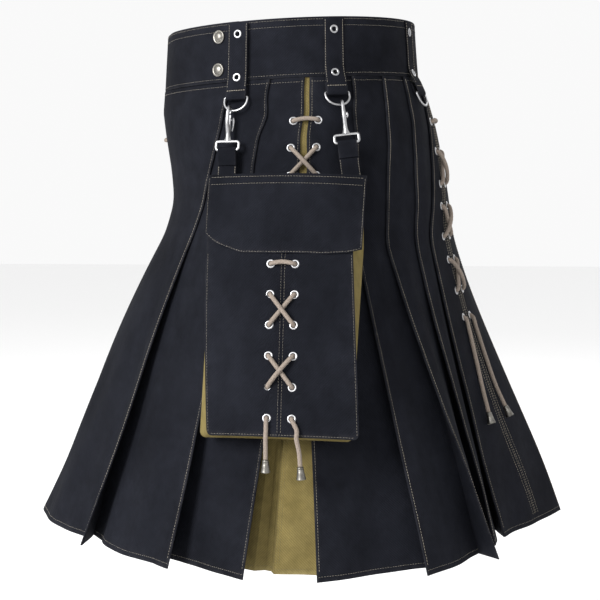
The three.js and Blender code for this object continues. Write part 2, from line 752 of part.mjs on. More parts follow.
// Pocket, in its own frame: x across, y out of the back panel, z up along it.
const pocketFrame = (() => {
  const out = new THREE.Vector3(Math.cos(rad(POCKET.turn)), Math.sin(rad(POCKET.turn)), 0);
  const x = new THREE.Vector3(-out.y, out.x, 0);
  const up = new THREE.Vector3(0, 0, 1);
  const y = out.clone().multiplyScalar(Math.cos(rad(POCKET.lean)));
  y.addScaledVector(up, Math.sin(rad(POCKET.lean)));
  const z = up.clone().multiplyScalar(Math.cos(rad(POCKET.lean)));
  z.addScaledVector(out, -Math.sin(rad(POCKET.lean)));
  return { origin: new THREE.Vector3(...POCKET.at), x, y, z };
})();

// The pocket hangs askew. Shifts of its front toward the far side, where the flap ends and at the
// bottom, and how far the far edge of its back is let out at the top and taken in lower down.
const FRONT_SHIFT = {
  near: { upper: 1.8, bottom: 14 },
  middle: { upper: 5.4, bottom: 10.2 },
  far: { upper: -3.3, bottom: 11.2 },
};
const BACK_LET_OUT = { top: 3, lower: -0.5 };
const UPPER_SHARE = 0.3; // of the pocket's height, down to where the flap ends

function skewAt(across, depth, drop) {
  const edge = THREE.MathUtils.clamp(across / POCKET.halfWidth, -1.1, 1.1);
  const share = THREE.MathUtils.clamp(drop / POCKET.height, 0, 1);
  const fall = Math.max(share - UPPER_SHARE, 0) / (1 - UPPER_SHARE);
  const shift = ({ upper, bottom }, t) => lerp(upper, bottom, t);
  const middle = shift(FRONT_SHIFT.middle, fall);
  const side = edge < 0 ? shift(FRONT_SHIFT.near, fall ** 1.5) : shift(FRONT_SHIFT.far, fall);
  const front = lerp(middle, side, Math.min(edge ** 2, 1));
  const letOut = lerp(BACK_LET_OUT.top, BACK_LET_OUT.lower, Math.min(share / 0.7, 1));
  return lerp(letOut * Math.max(edge, 0), front, THREE.MathUtils.clamp(depth / POCKET.depth, 0, 1));
}

// A place on the pocket: across, depth and drop below its top, bowed round the hip.
function onPocket(across, depth, drop) {
  const bow = across ** 2 / (2 * POCKET.bowRadius);
  return inFrame(pocketFrame, across + skewAt(across, depth, drop), depth - bow, -drop);
}

function pocketPanel(columns, depth, top, bottomAt) {
  const rows = [0, 0.25, 0.5, 0.75, 1].map((t) =>
    columns.map((across) => {
      const drop = lerp(top, bottomAt(across), t);
      return {
        outer: onPocket(across, depth + CLOTH / 2, drop),
        inner: onPocket(across, depth - CLOTH / 2, drop),
      };
    }),
  );
  return wallGeometry(rows, columns.slice(1).fill(true));
}

function roundedBottom(across) {
  const past = Math.max(Math.abs(across) - (POCKET.halfWidth - POCKET.corner), 0);
  return POCKET.height - POCKET.corner + Math.sqrt(POCKET.corner ** 2 - past ** 2);
}

const outerColumns = [-81, -78, -75, -50, -25, 0, 25, 50, 75, 78, 81];
const frontDepth = POCKET.depth;
const flapDepth = frontDepth + PITCH + 0.3;

// The gusset is one strip round both sides and the bottom, between the front and the back.
function gussetGeometry() {
  const inset = CLOTH / 2;
  const half = POCKET.halfWidth - inset;
  const bottom = POCKET.height - inset;
  const corner = POCKET.corner;
  const line = [new THREE.Vector2(-half, -2)];
  for (const drop of [-70, -140, -210]) line.push(new THREE.Vector2(-half, drop));
  const turn = (centre, angles) => {
    for (const angle of angles) {
      const spoke = new THREE.Vector2(Math.cos(rad(angle)), Math.sin(rad(angle)));
      line.push(spoke.multiplyScalar(corner).add(new THREE.Vector2(centre, corner - bottom)));
    }
  };
  turn(corner - half, [180, 225, 270]);
  for (const across of [-50, -25, 0, 25, 50]) line.push(new THREE.Vector2(across, -bottom));
  turn(half - corner, [270, 315, 360]);
  for (const drop of [-210, -140, -70, -2]) line.push(new THREE.Vector2(half, drop));
  const section = thicken(line, CLOTH);
  const rows = [CLOTH / 2 + GAP, frontDepth - CLOTH / 2 - GAP].map((depth) =>
    section.map(({ outer, inner }) => ({
      outer: onPocket(outer.x, depth, -outer.y),
      inner: onPocket(inner.x, depth, -inner.y),
    })),
  );
  return wallGeometry(rows, line.slice(1).fill(true));
}

// The flap covers the open top, from the back panel over the gusset and down the front.
function flapBottom(across) {
  const side = THREE.MathUtils.smoothstep(Math.abs(across), 40, FLAP_HALF_WIDTH);
  return FLAP_DROP - 12 * side;
}

// The flap's far edge spreads past the pocket at the top and draws in toward the bottom.
function onFlap(across, depth, drop) {
  const far = Math.max(across, 0) / FLAP_HALF_WIDTH;
  const front = lerp(9.3, 7.3, drop / FLAP_DROP);
  const spread = lerp(3, front, THREE.MathUtils.clamp(depth / flapDepth, 0, 1));
  return onPocket(across + far * spread, depth, drop);
}

function flapGeometry() {
  const half = FLAP_HALF_WIDTH;
  const columns = [-half, -76, -68, -45, -20, 0, 20, 45, 68, 76, half];
  const rows = columns.map((across) => {
    const bottom = flapBottom(across);
    const line = [
      [0, -1.6],
      [flapDepth / 2, -2.2],
      [flapDepth - 1.5, -1.6],
      [flapDepth, 0.5],
      [flapDepth + 0.3, lerp(0.5, bottom, 0.5)],
      [flapDepth + 0.8, bottom],
    ].map(([depth, drop]) => new THREE.Vector2(depth, -drop));
    return thicken(line, CLOTH).map(({ outer, inner }) => ({
      outer: onFlap(across, outer.x, -outer.y),
      inner: onFlap(across, inner.x, -inner.y),
    }));
  });
  return wallGeometry(rows, [true, true, true, true, true]);
}

const POCKET_ROWS = Array.from({ length: 6 }, (_, i) => 96 + 32.4 * i);

function pocketEyelet(across, drop) {
  return { point: onPocket(across, frontDepth, drop), normal: pocketFrame.y.clone() };
}

function addPocket() {
  addMesh("pocket_back", pocketPanel(outerColumns, 0, 0, roundedBottom), twill);
  addMesh("pocket_gusset", gussetGeometry(), khaki);
  addMesh("pocket_flap", flapGeometry(), twill);
  const left = POCKET_ROWS.map((drop) => pocketEyelet(-13, drop));
  const right = POCKET_ROWS.map((drop) => pocketEyelet(13, drop));
  const leftColumns = [...outerColumns.filter((across) => across < 0), -GAP / 2];
  const rightColumns = leftColumns.map((across) => -across).reverse();
  const half = (columns, eyelets) => drilled(pocketPanel(columns, frontDepth, 1, roundedBottom), eyelets);
  addMesh("pocket_front_left", half(leftColumns, left), twill);
  addMesh("pocket_front_right", half(rightColumns, right), twill);
  const hang = (across, length, swing) => {
    const brink = onPocket(across, frontDepth + 4.2, POCKET.height + 1);
    const end = brink.clone().addScaledVector(pocketFrame.x, swing);
    end.z -= length;
    return [onPocket(across, frontDepth + 3.6, POCKET.height - 7), brink, end];
  };
  const route = laceRoute(left, right, 0, hang(-13, 23, 0), hang(19, 29, 4));
  addLace("lace_pocket", route);
  addBells("bell_pocket", route);
}

// Snap hook and hanger, in a frame whose origin is the D-ring's wire and whose z points back up.

function hookFrame(strap, slide, across) {
  const ring = ringFrame(strap);
  const origin = inFrame(ring, slide, 0, dropOnArc(slide));
  const anchor = onPocket(across, 0.8, 0);
  const z = origin.clone().sub(anchor).normalize();
  const y = pocketFrame.y.clone().addScaledVector(pocketFrame.x, across / POCKET.bowRadius);
  y.addScaledVector(z, -y.dot(z)).normalize();
  const x = z.clone().cross(y).normalize();
  return { origin, x, y, z, anchor };
}

const HOOK_WIRE = 1.6;
const EYE_TOP = -35; // the strap eye's upper bar
const HOOK_LINE = [
  [0, -26],
  [2.4, -21],
  [4.6, -14],
  [4.8, -6],
  [3.6, 1.4],
  [0, 3.7],
  [-3.2, 1.6],
  [-3.4, -3],
];

// The hook is cast in one with its strap eye: the shank spreads into the eye's upper bar.
function hookBodyGeometry(frame) {
  const line = HOOK_LINE.map(([y, z]) => inFrame(frame, 0, y, z));
  const shank = [
    [0, EYE_TOP],
    [4.2, EYE_TOP],
    [2.6, EYE_TOP + 4],
    [2, -25],
    [0, -24],
  ].map(([radius, z]) => new THREE.Vector2(radius, z));
  return joined([
    tubeGeometry(line, HOOK_WIRE, 8),
    turnedGeometry(shank, 10, frame.origin, frame.z),
    strapEyeGeometry(frame),
  ]);
}

// The sprung gate with its thumb piece, on the side of the hook that faces the cloth.
function hookGateGeometry(frame) {
  const line = [
    [-3.5, -5],
    [-3.4, -9],
    [-3.2, -16],
    [-3.7, -27],
  ].map(([y, z]) => inFrame(frame, 0, y, z));
  const thumb = [
    [3.6, -3.4, -9],
    [3.6, -3.3, -13],
  ].map(([x, y, z]) => inFrame(frame, x, y, z));
  const stem = [
    [0, -3.4, -10.5],
    [3.8, -3.4, -10.5],
  ].map(([x, y, z]) => inFrame(frame, x, y, z));
  return joined([tubeGeometry(line, 1.2, 6), tubeGeometry(thumb, 1.4, 6), tubeGeometry(stem, 1, 6)]);
}

// The strap eye: a rounded frame whose lower bar carries the hanger.
function strapEyeGeometry(frame) {
  const [half, top, bottom, corner] = [13.2, EYE_TOP, -HOOK_LENGTH, 2.5];
  const outline = [
    [-half, top - corner],
    [-half + corner, top],
    [0, top],
    [half - corner, top],
    [half, top - corner],
    [half, bottom + corner],
    [half - corner, bottom],
    [0, bottom],
    [-half + corner, bottom],
    [-half, bottom + corner],
  ].map(([x, z]) => inFrame(frame, x, 0, z));
  return ringTubeGeometry(outline, 1.5, 8);
}

// The hanger strap wraps the eye's lower bar and runs down behind the pocket's back.
function hangerGeometry(frame) {
  const loop = 1.5 + GAP + CLOTH / 2;
  const atPocket = new THREE.Vector2(-loop, -frame.origin.distanceTo(frame.anchor));
  const down = new THREE.Vector2(-pocketFrame.z.dot(frame.y), -pocketFrame.z.dot(frame.z));
  const line = [atPocket.clone().addScaledVector(down, HANGER_TAIL), atPocket];
  line.push(new THREE.Vector2(-loop, -HOOK_LENGTH - 8));
  for (let angle = 180; angle >= 0; angle -= 45) {
    line.push(new THREE.Vector2(loop * Math.cos(rad(angle)), -HOOK_LENGTH + loop * Math.sin(rad(angle))));
  }
  line.push(new THREE.Vector2(0.4, -HOOK_LENGTH - 8));
  line.push(new THREE.Vector2(-loop + PITCH + 0.1, -HOOK_LENGTH - 14));
  line.push(new THREE.Vector2(-loop + PITCH + 0.1, -HOOK_LENGTH - 17));
  const section = thicken(line, CLOTH);
  const rows = [-HANGER_WIDTH / 2, HANGER_WIDTH / 2].map((across) =>
    section.map(({ outer, inner }) => ({
      outer: inFrame(frame, across, outer.x, outer.y),
      inner: inFrame(frame, across, inner.x, inner.y),
    })),
  );
  return wallGeometry(rows, line.slice(1).fill(true));
}

function addHook(name, strap, slide, across) {
  const frame = hookFrame(strap, slide, across);
  addMesh("hook_" + name, hookBodyGeometry(frame), nickel);
  addMesh("hook_gate_" + name, hookGateGeometry(frame), nickel);
  addMesh("hanger_" + name, hangerGeometry(frame), twill);
}

// Snap caps on the overlapped end of the waistband.
const SNAP_DEGREES = -24.7;

function addSnapCap(name, drop) {
  const offset = BAND_OFFSET + BAND_CLOTH / 2 + BAND_CLOTH + 2 * GAP + 0.2;
  const frame = frameOnRing(SNAP_DEGREES, drop, offset);
  const profile = [
    [0, 0],
    [7.5, 0],
    [7.5, 0.8],
    [5, 2.2],
    [0, 2.6],
  ].map(([x, y]) => new THREE.Vector2(x, y));
  addMesh(name, turnedGeometry(profile, 14, frame.origin, frame.y), silver);
}

// Assembly

const holes = new Map();
for (const lacing of LACINGS) {
  const column = ({ panel, ...rest }) => ({ stations: panels.get(panel), ...rest });
  lacing.columns = [column(lacing.left), column(lacing.right)];
  lacing.eyelets = lacing.columns.map((side) => lacing.drops.map((drop) => skirtEyelet(side, drop)));
  for (const name of lacing.through) {
    holes.set(name, [...(holes.get(name) ?? []), ...lacing.eyelets.flat()]);
  }
}

for (const [name, stations] of panels) {
  const look = name.startsWith("insert") ? khaki : twill;
  const wall = panelGeometry(stations);
  addMesh(name, holes.has(name) ? drilled(wall, holes.get(name)) : wall, look);
}

addMesh("waistband", bandGeometry(), twill);
for (const strap of STRAPS) {
  addMesh("strap_" + strap.name, strapGeometry(strap), twill);
  addMesh("d_ring_" + strap.name, dRingGeometry(strap), nickel);
}

for (const lacing of LACINGS) {
  const [left, right] = lacing.eyelets;
  const hangs = lacing.name === "lace_back";
  const lastDrop = lacing.drops.at(-1);
  const free = lacing.columns.map((column, i) =>
    hangs
      ? freeOnSkirt(column, FREE_DROPS.map((drop) => lastDrop + drop), i ? [0, 0, 0, 0] : LEFT_DRIFTS)
      : [inside(skirtEyelet(column, lastDrop + 14), LAYER_DEPTH)],
  );
  const route = laceRoute(left, right, LAYER_DEPTH, ...free);
  addLace(lacing.name, route);
  if (hangs) addBells("bell_back", route);
}

addPocket();
addHook("left_front", STRAPS[0], -6, -69);
addHook("left_mid", STRAPS[1], 3, 70);
addSnapCap("snap_cap_upper", 15);
addSnapCap("snap_cap_lower", 51);

export default scene;
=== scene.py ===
import math

import bpy
import numpy as np
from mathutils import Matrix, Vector


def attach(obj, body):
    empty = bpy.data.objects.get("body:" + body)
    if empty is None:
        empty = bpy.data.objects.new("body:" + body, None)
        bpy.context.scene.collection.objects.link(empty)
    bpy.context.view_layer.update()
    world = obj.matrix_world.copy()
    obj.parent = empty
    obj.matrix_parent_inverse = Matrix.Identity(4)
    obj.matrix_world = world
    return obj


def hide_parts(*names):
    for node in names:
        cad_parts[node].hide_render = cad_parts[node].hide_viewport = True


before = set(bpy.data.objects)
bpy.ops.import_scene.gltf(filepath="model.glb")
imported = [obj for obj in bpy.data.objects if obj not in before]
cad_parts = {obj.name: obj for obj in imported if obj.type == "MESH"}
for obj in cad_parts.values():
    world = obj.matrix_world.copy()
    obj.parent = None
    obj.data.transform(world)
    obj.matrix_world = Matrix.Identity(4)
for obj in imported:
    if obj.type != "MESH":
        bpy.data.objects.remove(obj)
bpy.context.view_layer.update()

# Utility kilt as worn. The functions below work in millimetres, in the part's own frame: the origin
# is the centre of the waistband's top edge, +Z is up, the front faces -Y and the wearer's left
# side faces +X. "Drop" is a distance straight down from the waist.
BODY = "kilt"
MM = 0.001

CLOTH = 1.2
GAP = 0.3
SEAM_GAP = 0.01  # each side of a sewn seam, so that no light shows through it
PITCH = CLOTH + GAP
TOP_LAYER = 2 * PITCH
LENGTH = 582
BAND_HEIGHT = 65
BAND_CLOTH = 2.4
BAND_OFFSET = 2.1
FELL_DROP = 240
TILT = 0.053
BILLOW = 0.3
CORD_RADIUS = 2.3
CORD_CLEAR = 0.2
CROSS_RISE = 0.4
OVER_CORD = 1.7 * CORD_RADIUS
BAR_ARCH = 1.6  # the top bar of a lacing bows upward
BEND = 2.6
WIRE = 1.2
WAIST_RADIUS = 162
HIP_RADIUS = 197

RING = np.array([
    # drop, front, back, side
    (0, 143.5, 144.5, 160), (65, 147.5, 149.5, 163), (90, 149.5, 161, 168), (120, 146, 170.5, 174),
    (160, 140, 179.5, 181.5), (200, 137, 187, 188.5), (240, 148, 192, 198)], float)

FOLDS = {
    # faces, waist, hip, tuck at both, edge and the bottom of the tuck at the hem
    "leftA": (1, -19, -36, (20, 26), (188, -218), (148, -219)),
    "leftB": (1, -4, -13, (18, 26), (274, -110), (226, -130)),
    "leftC": (1, 9.1, 4.8, (20, 26), (306, -27), (259, -51)),
    "leftD": (-1, 11.8, 8.3, (20, 24), (314, 51), (294, 75)),
    "leftE": (-1, 29, 24.5, (20, 20), (281, 163), (249, 169)),
    "leftF": (-1, 44.8, 34.6, (14, 20), (214, 239), (194, 221)),
    "leftG": (-1, 60, 47.8, (20, 20), (159, 240), (141, 223)),
    "leftH": (-1, 79, 56.5, (10, 22), (121, 252), (92, 246)),
    "rightH": (1, 98, 91.4, (12, 22), (-11, 331), (-2, 303)),
    "rightG": (1, 120, 106, (20, 20), (-81, 310), (-57, 297)),
    "rightF": (1, 131.4, 121, (14, 20), (-148, 284), (-125, 271)),
    "rightE": (1, 151, 143, (20, 20), (-233, 214), (-206, 207)),
    "rightD": (1, 168.4, 171, (20, 24), (-308, 62), (-288, 86)),
    "rightC": (-1, 170.5, 176.5, (20, 26), (-306, -27), (-259, -51)),
    "rightB": (-1, 184, 193, (18, 26), (-274, -110), (-226, -130)),
    "rightA": (-1, 199, 216, (20, 26), (-188, -218), (-148, -219)),
}
SEAMS = {
    # waist, hip, place at the hem
    "back": (83.5, 70, (48, 292)),
    "leftInsert": (10.5, 6.2, (285, 4)),
    "rightInsert": (169.5, 173.8, (-283, 4)),
}
PANELS = {
    # from, to, bow
    "front_apron": (("edge", "rightA"), ("edge", "leftA"), 83),
    "pleat_left_1": (("under", "leftA"), ("edge", "leftB"), 9),
    "pleat_left_2": (("under", "leftB"), ("edge", "leftC"), 3),
    "insert_left_front": (("under", "leftC"), ("seam", "leftInsert"), -9),
    "insert_left_back": (("under", "leftD"), ("seam", "leftInsert"), 0),
    "pleat_left_3": (("under", "leftE"), ("edge", "leftD"), 0),
    "pleat_left_4": (("under", "leftF"), ("edge", "leftE"), 0),
    "pleat_left_5": (("under", "leftG"), ("edge", "leftF"), 0),
    "pleat_left_6": (("under", "leftH"), ("edge", "leftG"), 0),
    "back_left": (("seam", "back"), ("edge", "leftH"), 0),
    "back_right": (("seam", "back"), ("edge", "rightH"), 0),
    "pleat_right_6": (("under", "rightH"), ("edge", "rightG"), 4),
    "pleat_right_5": (("under", "rightG"), ("edge", "rightF"), 4),
    "pleat_right_4": (("under", "rightF"), ("edge", "rightE"), 8),
    "pleat_right_3": (("under", "rightE"), ("edge", "rightD"), 12),
    "insert_right_back": (("under", "rightD"), ("seam", "rightInsert"), 0),
    "insert_right_front": (("under", "rightC"), ("seam", "rightInsert"), 0),
    "pleat_right_2": (("under", "rightB"), ("edge", "rightC"), 3),
    "pleat_right_1": (("under", "rightA"), ("edge", "rightB"), 9),
}
STRAPS = {
    # polar angle, lift over the overlapped band, ring's reach outward
    "left_front": (-16.2, 2.7, 4), "left_mid": (21, 0, 4), "left_back": (68, 0, 0),
    "right_back": (112, 0, 0), "right_mid": (159, 0, 0), "right_front": (199, 0, 0),
}
BAR_DROP = 83
BAR_OFFSET = 7.2
RING_HALF = 13.8
RING_LEG = 4
RING_ARC = 12
FREE_RINGS = ("left_back", "right_back", "right_mid", "right_front")


def lerp(a, b, t):
    return a + (b - a) * t


def unit(v):
    return v / np.maximum(np.linalg.norm(v, axis=-1, keepdims=True), 1e-9)


def run_along(line):
    """Distance along a line at each of its points."""
    return np.concatenate([[0], np.cumsum(np.linalg.norm(np.diff(line, axis=0), axis=1))])


def arc(centre, radii, degrees):
    """Points of an ellipse, or of a circle, at these angles."""
    turns = [math.radians(a) for a in degrees]
    return [(centre[0] + radii[0] * math.cos(t), centre[1] + radii[1] * math.sin(t)) for t in turns]


def grid_uv(across, down):
    return np.stack(np.broadcast_arrays(across[None, :], down[:, None]), -1)


def outward(N, sample, direction):
    """The normals N, turned over if this sample of them faces against direction."""
    return N if (sample * direction).sum() > 0 else -N


# Materials

class Look:
    """A material, with short ways to add the nodes that shade it."""

    def __init__(self, name, base, roughness, metallic=0.0, sheen=0.0):
        self.material = bpy.data.materials.new(name)
        self.material.use_nodes = True
        self.nodes = self.material.node_tree.nodes
        self.links = self.material.node_tree.links
        self.shader = self.nodes["Principled BSDF"]
        self.shader.inputs["Base Color"].default_value = (*base, 1)
        self.shader.inputs["Roughness"].default_value = roughness
        self.shader.inputs["Metallic"].default_value = metallic
        self.shader.inputs["Sheen Weight"].default_value = sheen
        self.shader.inputs["Specular IOR Level"].default_value = 0.5 if metallic else 0.06

    def feed(self, socket, output):
        self.links.new(output, self.shader.inputs[socket])

    def coords(self):
        return self.nodes.new("ShaderNodeTexCoord").outputs

    def wear_and_braid_shade(self):
        """The mesh's per-point attribute: on cloth its pale worn edges; on a cord the braid's height, from
        which the cord's grooves get painted shade.
        """
        node = self.nodes.new("ShaderNodeAttribute")
        node.attribute_name = "wear_and_braid_shade"
        return node.outputs["Fac"]

    def noise(self, coords, scale, detail, rough=0.6):
        node = self.nodes.new("ShaderNodeTexNoise")
        node.inputs["Scale"].default_value = scale
        node.inputs["Detail"].default_value = detail
        node.inputs["Roughness"].default_value = rough
        self.links.new(coords, node.inputs["Vector"])
        return node.outputs["Fac"]

    def ramp(self, fac, *stops):
        node = self.nodes.new("ShaderNodeValToRGB")
        for element, (at, value) in zip(node.color_ramp.elements, stops):
            element.position = at
            element.color = (*value, 1) if hasattr(value, "__len__") else (value, value, value, 1)
        self.links.new(fac, node.inputs["Fac"])
        return node.outputs["Color"]

    def mix(self, fac, a, b, blend="MIX"):
        node = self.nodes.new("ShaderNodeMix")
        node.data_type = "RGBA"
        node.blend_type = blend
        for socket, value in ((node.inputs["Factor"], fac), (node.inputs["A"], a), (node.inputs["B"], b)):
            if hasattr(value, "is_linked"):
                self.links.new(value, socket)
            else:
                socket.default_value = (*value, 1) if hasattr(value, "__len__") else value
        return node.outputs["Result"]

    def bump(self, height, strength, distance, normal=None):
        node = self.nodes.new("ShaderNodeBump")
        node.inputs["Strength"].default_value = strength
        node.inputs["Distance"].default_value = distance
        self.links.new(height, node.inputs["Height"])
        if normal:
            self.links.new(normal, node.inputs["Normal"])
        return node.outputs["Normal"]


def twill(name, dark, light, worn):
    """Heavy twill: diagonal ribs, uneven dye, slubs, puckers, and pale worn edges where the mesh's attribute
    marks them.
    """
    look = Look(name, dark, 0.9)
    coords = look.coords()
    ribs = look.nodes.new("ShaderNodeTexWave")
    ribs.bands_direction = "DIAGONAL"
    ribs.inputs["Scale"].default_value = 210
    ribs.inputs["Distortion"].default_value = 0.6
    ribs.inputs["Detail"].default_value = 1.0
    look.links.new(coords["UV"], ribs.inputs["Vector"])
    cloudy = look.noise(coords["Object"], 9, 5)
    mottled = look.noise(coords["Object"], 70, 6, 0.7)
    dye = look.mix(look.ramp(cloudy, (0.35, 0.0), (0.65, 1.0)), dark, light)
    dye = look.mix(0.5, dye, look.ramp(mottled, (0.3, 0.55), (0.7, 1.3)), "MULTIPLY")
    dye = look.mix(0.35, dye, look.ramp(ribs.outputs["Fac"], (0.2, 0.6), (0.9, 1.25)), "MULTIPLY")
    scuffed = look.nodes.new("ShaderNodeMath")
    scuffed.operation = "MULTIPLY"
    look.links.new(look.wear_and_braid_shade(), scuffed.inputs[0])
    look.links.new(look.ramp(mottled, (0.38, 0.1), (0.62, 1.0)), scuffed.inputs[1])
    look.feed("Base Color", look.mix(scuffed.outputs["Value"], dye, worn))
    normal = look.bump(look.noise(coords["Object"], 38, 3), 0.55, 0.0022)
    normal = look.bump(ribs.outputs["Fac"], 0.5, 0.00022, normal)
    look.feed("Normal", look.bump(look.noise(coords["UV"], 900, 3), 0.35, 0.00015, normal))
    return look.material


def braided(name, base, painted_groove_shade, ridge):
    look = Look(name, base, 0.85, sheen=0.05)
    # Painted shade: the braid's grooves are coloured darker than its ridges, following the braid's height.
    strands = look.ramp(look.wear_and_braid_shade(), (0.05, painted_groove_shade), (0.7, ridge))
    fuzz = look.noise(look.coords()["Object"], 420, 4)
    look.feed("Base Color", look.mix(0.3, strands, look.ramp(fuzz, (0.3, 0.6), (0.7, 1.35)), "MULTIPLY"))
    look.feed("Normal", look.bump(fuzz, 0.4, 0.0003))
    return look.material


def metal(name, base, dull, roughness, grain):
    look = Look(name, base, roughness, metallic=1.0)
    solid = look.coords()["Object"]
    patches = look.noise(solid, grain, 5, 0.65)
    look.feed("Base Color", look.mix(look.ramp(patches, (0.4, 0.0), (0.72, 1.0)), base, dull))
    look.feed("Roughness", look.ramp(patches, (0.3, roughness * 0.75), (0.75, min(1.0, roughness * 1.6))))
    look.feed("Normal", look.bump(look.noise(solid, 700, 3), 0.25, 0.00012))
    return look.material


def thread(name, base):
    look = Look(name, base, 0.7, sheen=0.2)
    twist = look.noise(look.coords()["Object"], 260, 3)
    look.feed("Base Color", look.mix(0.7, base, look.ramp(twist, (0.3, 0.7), (0.7, 1.25)), "MULTIPLY"))
    return look.material


BLACK = twill("black_twill_look", dark=(0.0046, 0.0051, 0.0074), light=(0.0088, 0.0096, 0.0134),
              worn=(0.018, 0.018, 0.021))
KHAKI = twill("khaki_twill_look", dark=(0.118, 0.092, 0.033), light=(0.162, 0.128, 0.05),
              worn=(0.21, 0.175, 0.085))
CORD = braided("cord_braid_look", (0.19, 0.158, 0.132), painted_groove_shade=(0.135, 0.110, 0.090),
               ridge=(0.205, 0.170, 0.143))
NICKEL = metal("nickel_look", (0.44, 0.44, 0.45), (0.26, 0.26, 0.265), 0.32, 60)
SILVER = metal("antique_silver_look", (0.22, 0.21, 0.19), (0.06, 0.056, 0.05), 0.34, 160)
THREAD = thread("thread_tan_look", (0.27, 0.24, 0.19))
KHAKI_THREAD = thread("thread_khaki_look", (0.085, 0.068, 0.03))


# Meshes

def add_piece(name, verts, faces, mat, body=BODY, nodes=(), uv=None, wear_and_braid_shade=None, sharp=38):
    mesh = bpy.data.meshes.new(name)
    verts = np.asarray(verts, float) * MM
    faces = [tuple(int(i) for i in f) for f in faces]
    mesh.from_pydata(verts.tolist(), [], faces)
    mesh.materials.append(mat)
    mesh.polygons.foreach_set("use_smooth", [True] * len(mesh.polygons))
    loops = np.empty(len(mesh.loops), np.int32)
    mesh.loops.foreach_get("vertex_index", loops)
    if uv is not None:
        layer = mesh.uv_layers.new(name="UVMap")
        layer.data.foreach_set("uv", (np.asarray(uv, float) * MM)[loops].astype(np.float32).ravel())
    # Per-point attribute: worn edges of cloth, and on a cord the braid's height, used for its painted groove
    # shade.
    worn = np.zeros(len(verts)) if wear_and_braid_shade is None else np.asarray(wear_and_braid_shade)
    layer = mesh.attributes.new("wear_and_braid_shade", "FLOAT", "POINT")
    layer.data.foreach_set("value", worn.astype(np.float32))
    mesh.set_sharp_from_angle(angle=math.radians(sharp))
    mesh.update()
    obj = bpy.data.objects.new(name, mesh)
    bpy.context.scene.collection.objects.link(obj)
    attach(obj, body)
    if nodes:
        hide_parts(*nodes)
    return obj


def grid_normals(P):
    across = np.gradient(P, axis=1)
    down = np.gradient(P, axis=0)
    return unit(np.cross(across, down))


def shell(name, P, N, thick, mat, holes=(), uv=None, wear_and_braid_shade=None, **more):
    """A closed wall about the grid P, with its outside along N. Each hole is (point, radius)."""
    P = P.copy()
    rows, cols = P.shape[:2]
    keep = np.ones((rows - 1, cols - 1), bool)
    for point, radius in holes:
        near = np.linalg.norm(P - point, axis=2)
        r, c = np.unravel_index(np.argmin(near), near.shape)
        r, c = min(max(r, 1), rows - 2), min(max(c, 1), cols - 2)
        keep[r - 1:r + 1, c - 1:c + 1] = False
        normal = N[r, c]
        for i in (-1, 0, 1):
            for j in (-1, 0, 1):
                if i or j:
                    spoke = P[r + i, c + j] - point
                    spoke = spoke - normal * spoke.dot(normal)
                    lifted = (P[r + i, c + j] - point).dot(normal)
                    spoke = radius * spoke / max(np.linalg.norm(spoke), 1e-6)
                    P[r + i, c + j] = point + spoke + normal * lifted
    index = np.arange(rows * cols).reshape(rows, cols)
    quads = np.stack([index[:-1, :-1], index[:-1, 1:], index[1:, 1:], index[1:, :-1]], -1)[keep]
    n = rows * cols
    edges = np.stack([quads, np.roll(quads, -1, 1)], -1).reshape(-1, 2)
    code = edges[:, 0] * n + edges[:, 1]
    rim = edges[~np.isin(edges[:, 1] * n + edges[:, 0], code)]
    walls = np.stack([rim[:, 1], rim[:, 0], rim[:, 0] + n, rim[:, 1] + n], -1)
    half = (np.asarray(thick) * np.ones((rows, cols)) / 2)[..., None]
    verts = np.concatenate([(P + N * half).reshape(-1, 3), (P - N * half).reshape(-1, 3)])
    faces = np.concatenate([quads, quads[:, ::-1] + n, walls])
    a, b, c = verts[faces[:, 0]], verts[faces[:, 1]], verts[faces[:, 2]]
    d = verts[faces[:, 3]]
    if (np.einsum("ij,ij->i", a, np.cross(b, c)) + np.einsum("ij,ij->i", a, np.cross(c, d))).sum() < 0:
        faces = faces[:, ::-1]
    used = np.unique(faces)
    remap = np.zeros(2 * n, int)
    remap[used] = np.arange(len(used))
    twice = lambda a: None if a is None else np.concatenate([a, a])[used]
    return add_piece(name, verts[used], remap[faces], mat,
                     uv=twice(None if uv is None else uv.reshape(-1, 2)),
                     wear_and_braid_shade=twice(None if wear_and_braid_shade is None else wear_and_braid_shade.ravel()), **more)


def tube_faces(rows, sides, closed=False):
    """Quads between rings of points, with a cap at each end of an open tube."""
    index = np.arange(rows * sides).reshape(rows, sides)
    if closed:
        index = np.vstack([index, index[:1]])
    after = np.roll(index, -1, 1)
    quads = np.stack([index[:-1], after[:-1], after[1:], index[1:]], -1).reshape(-1, 4)
    faces = [tuple(q) for q in quads]
    return faces if closed else faces + [tuple(index[0][::-1]), tuple(index[-1])]


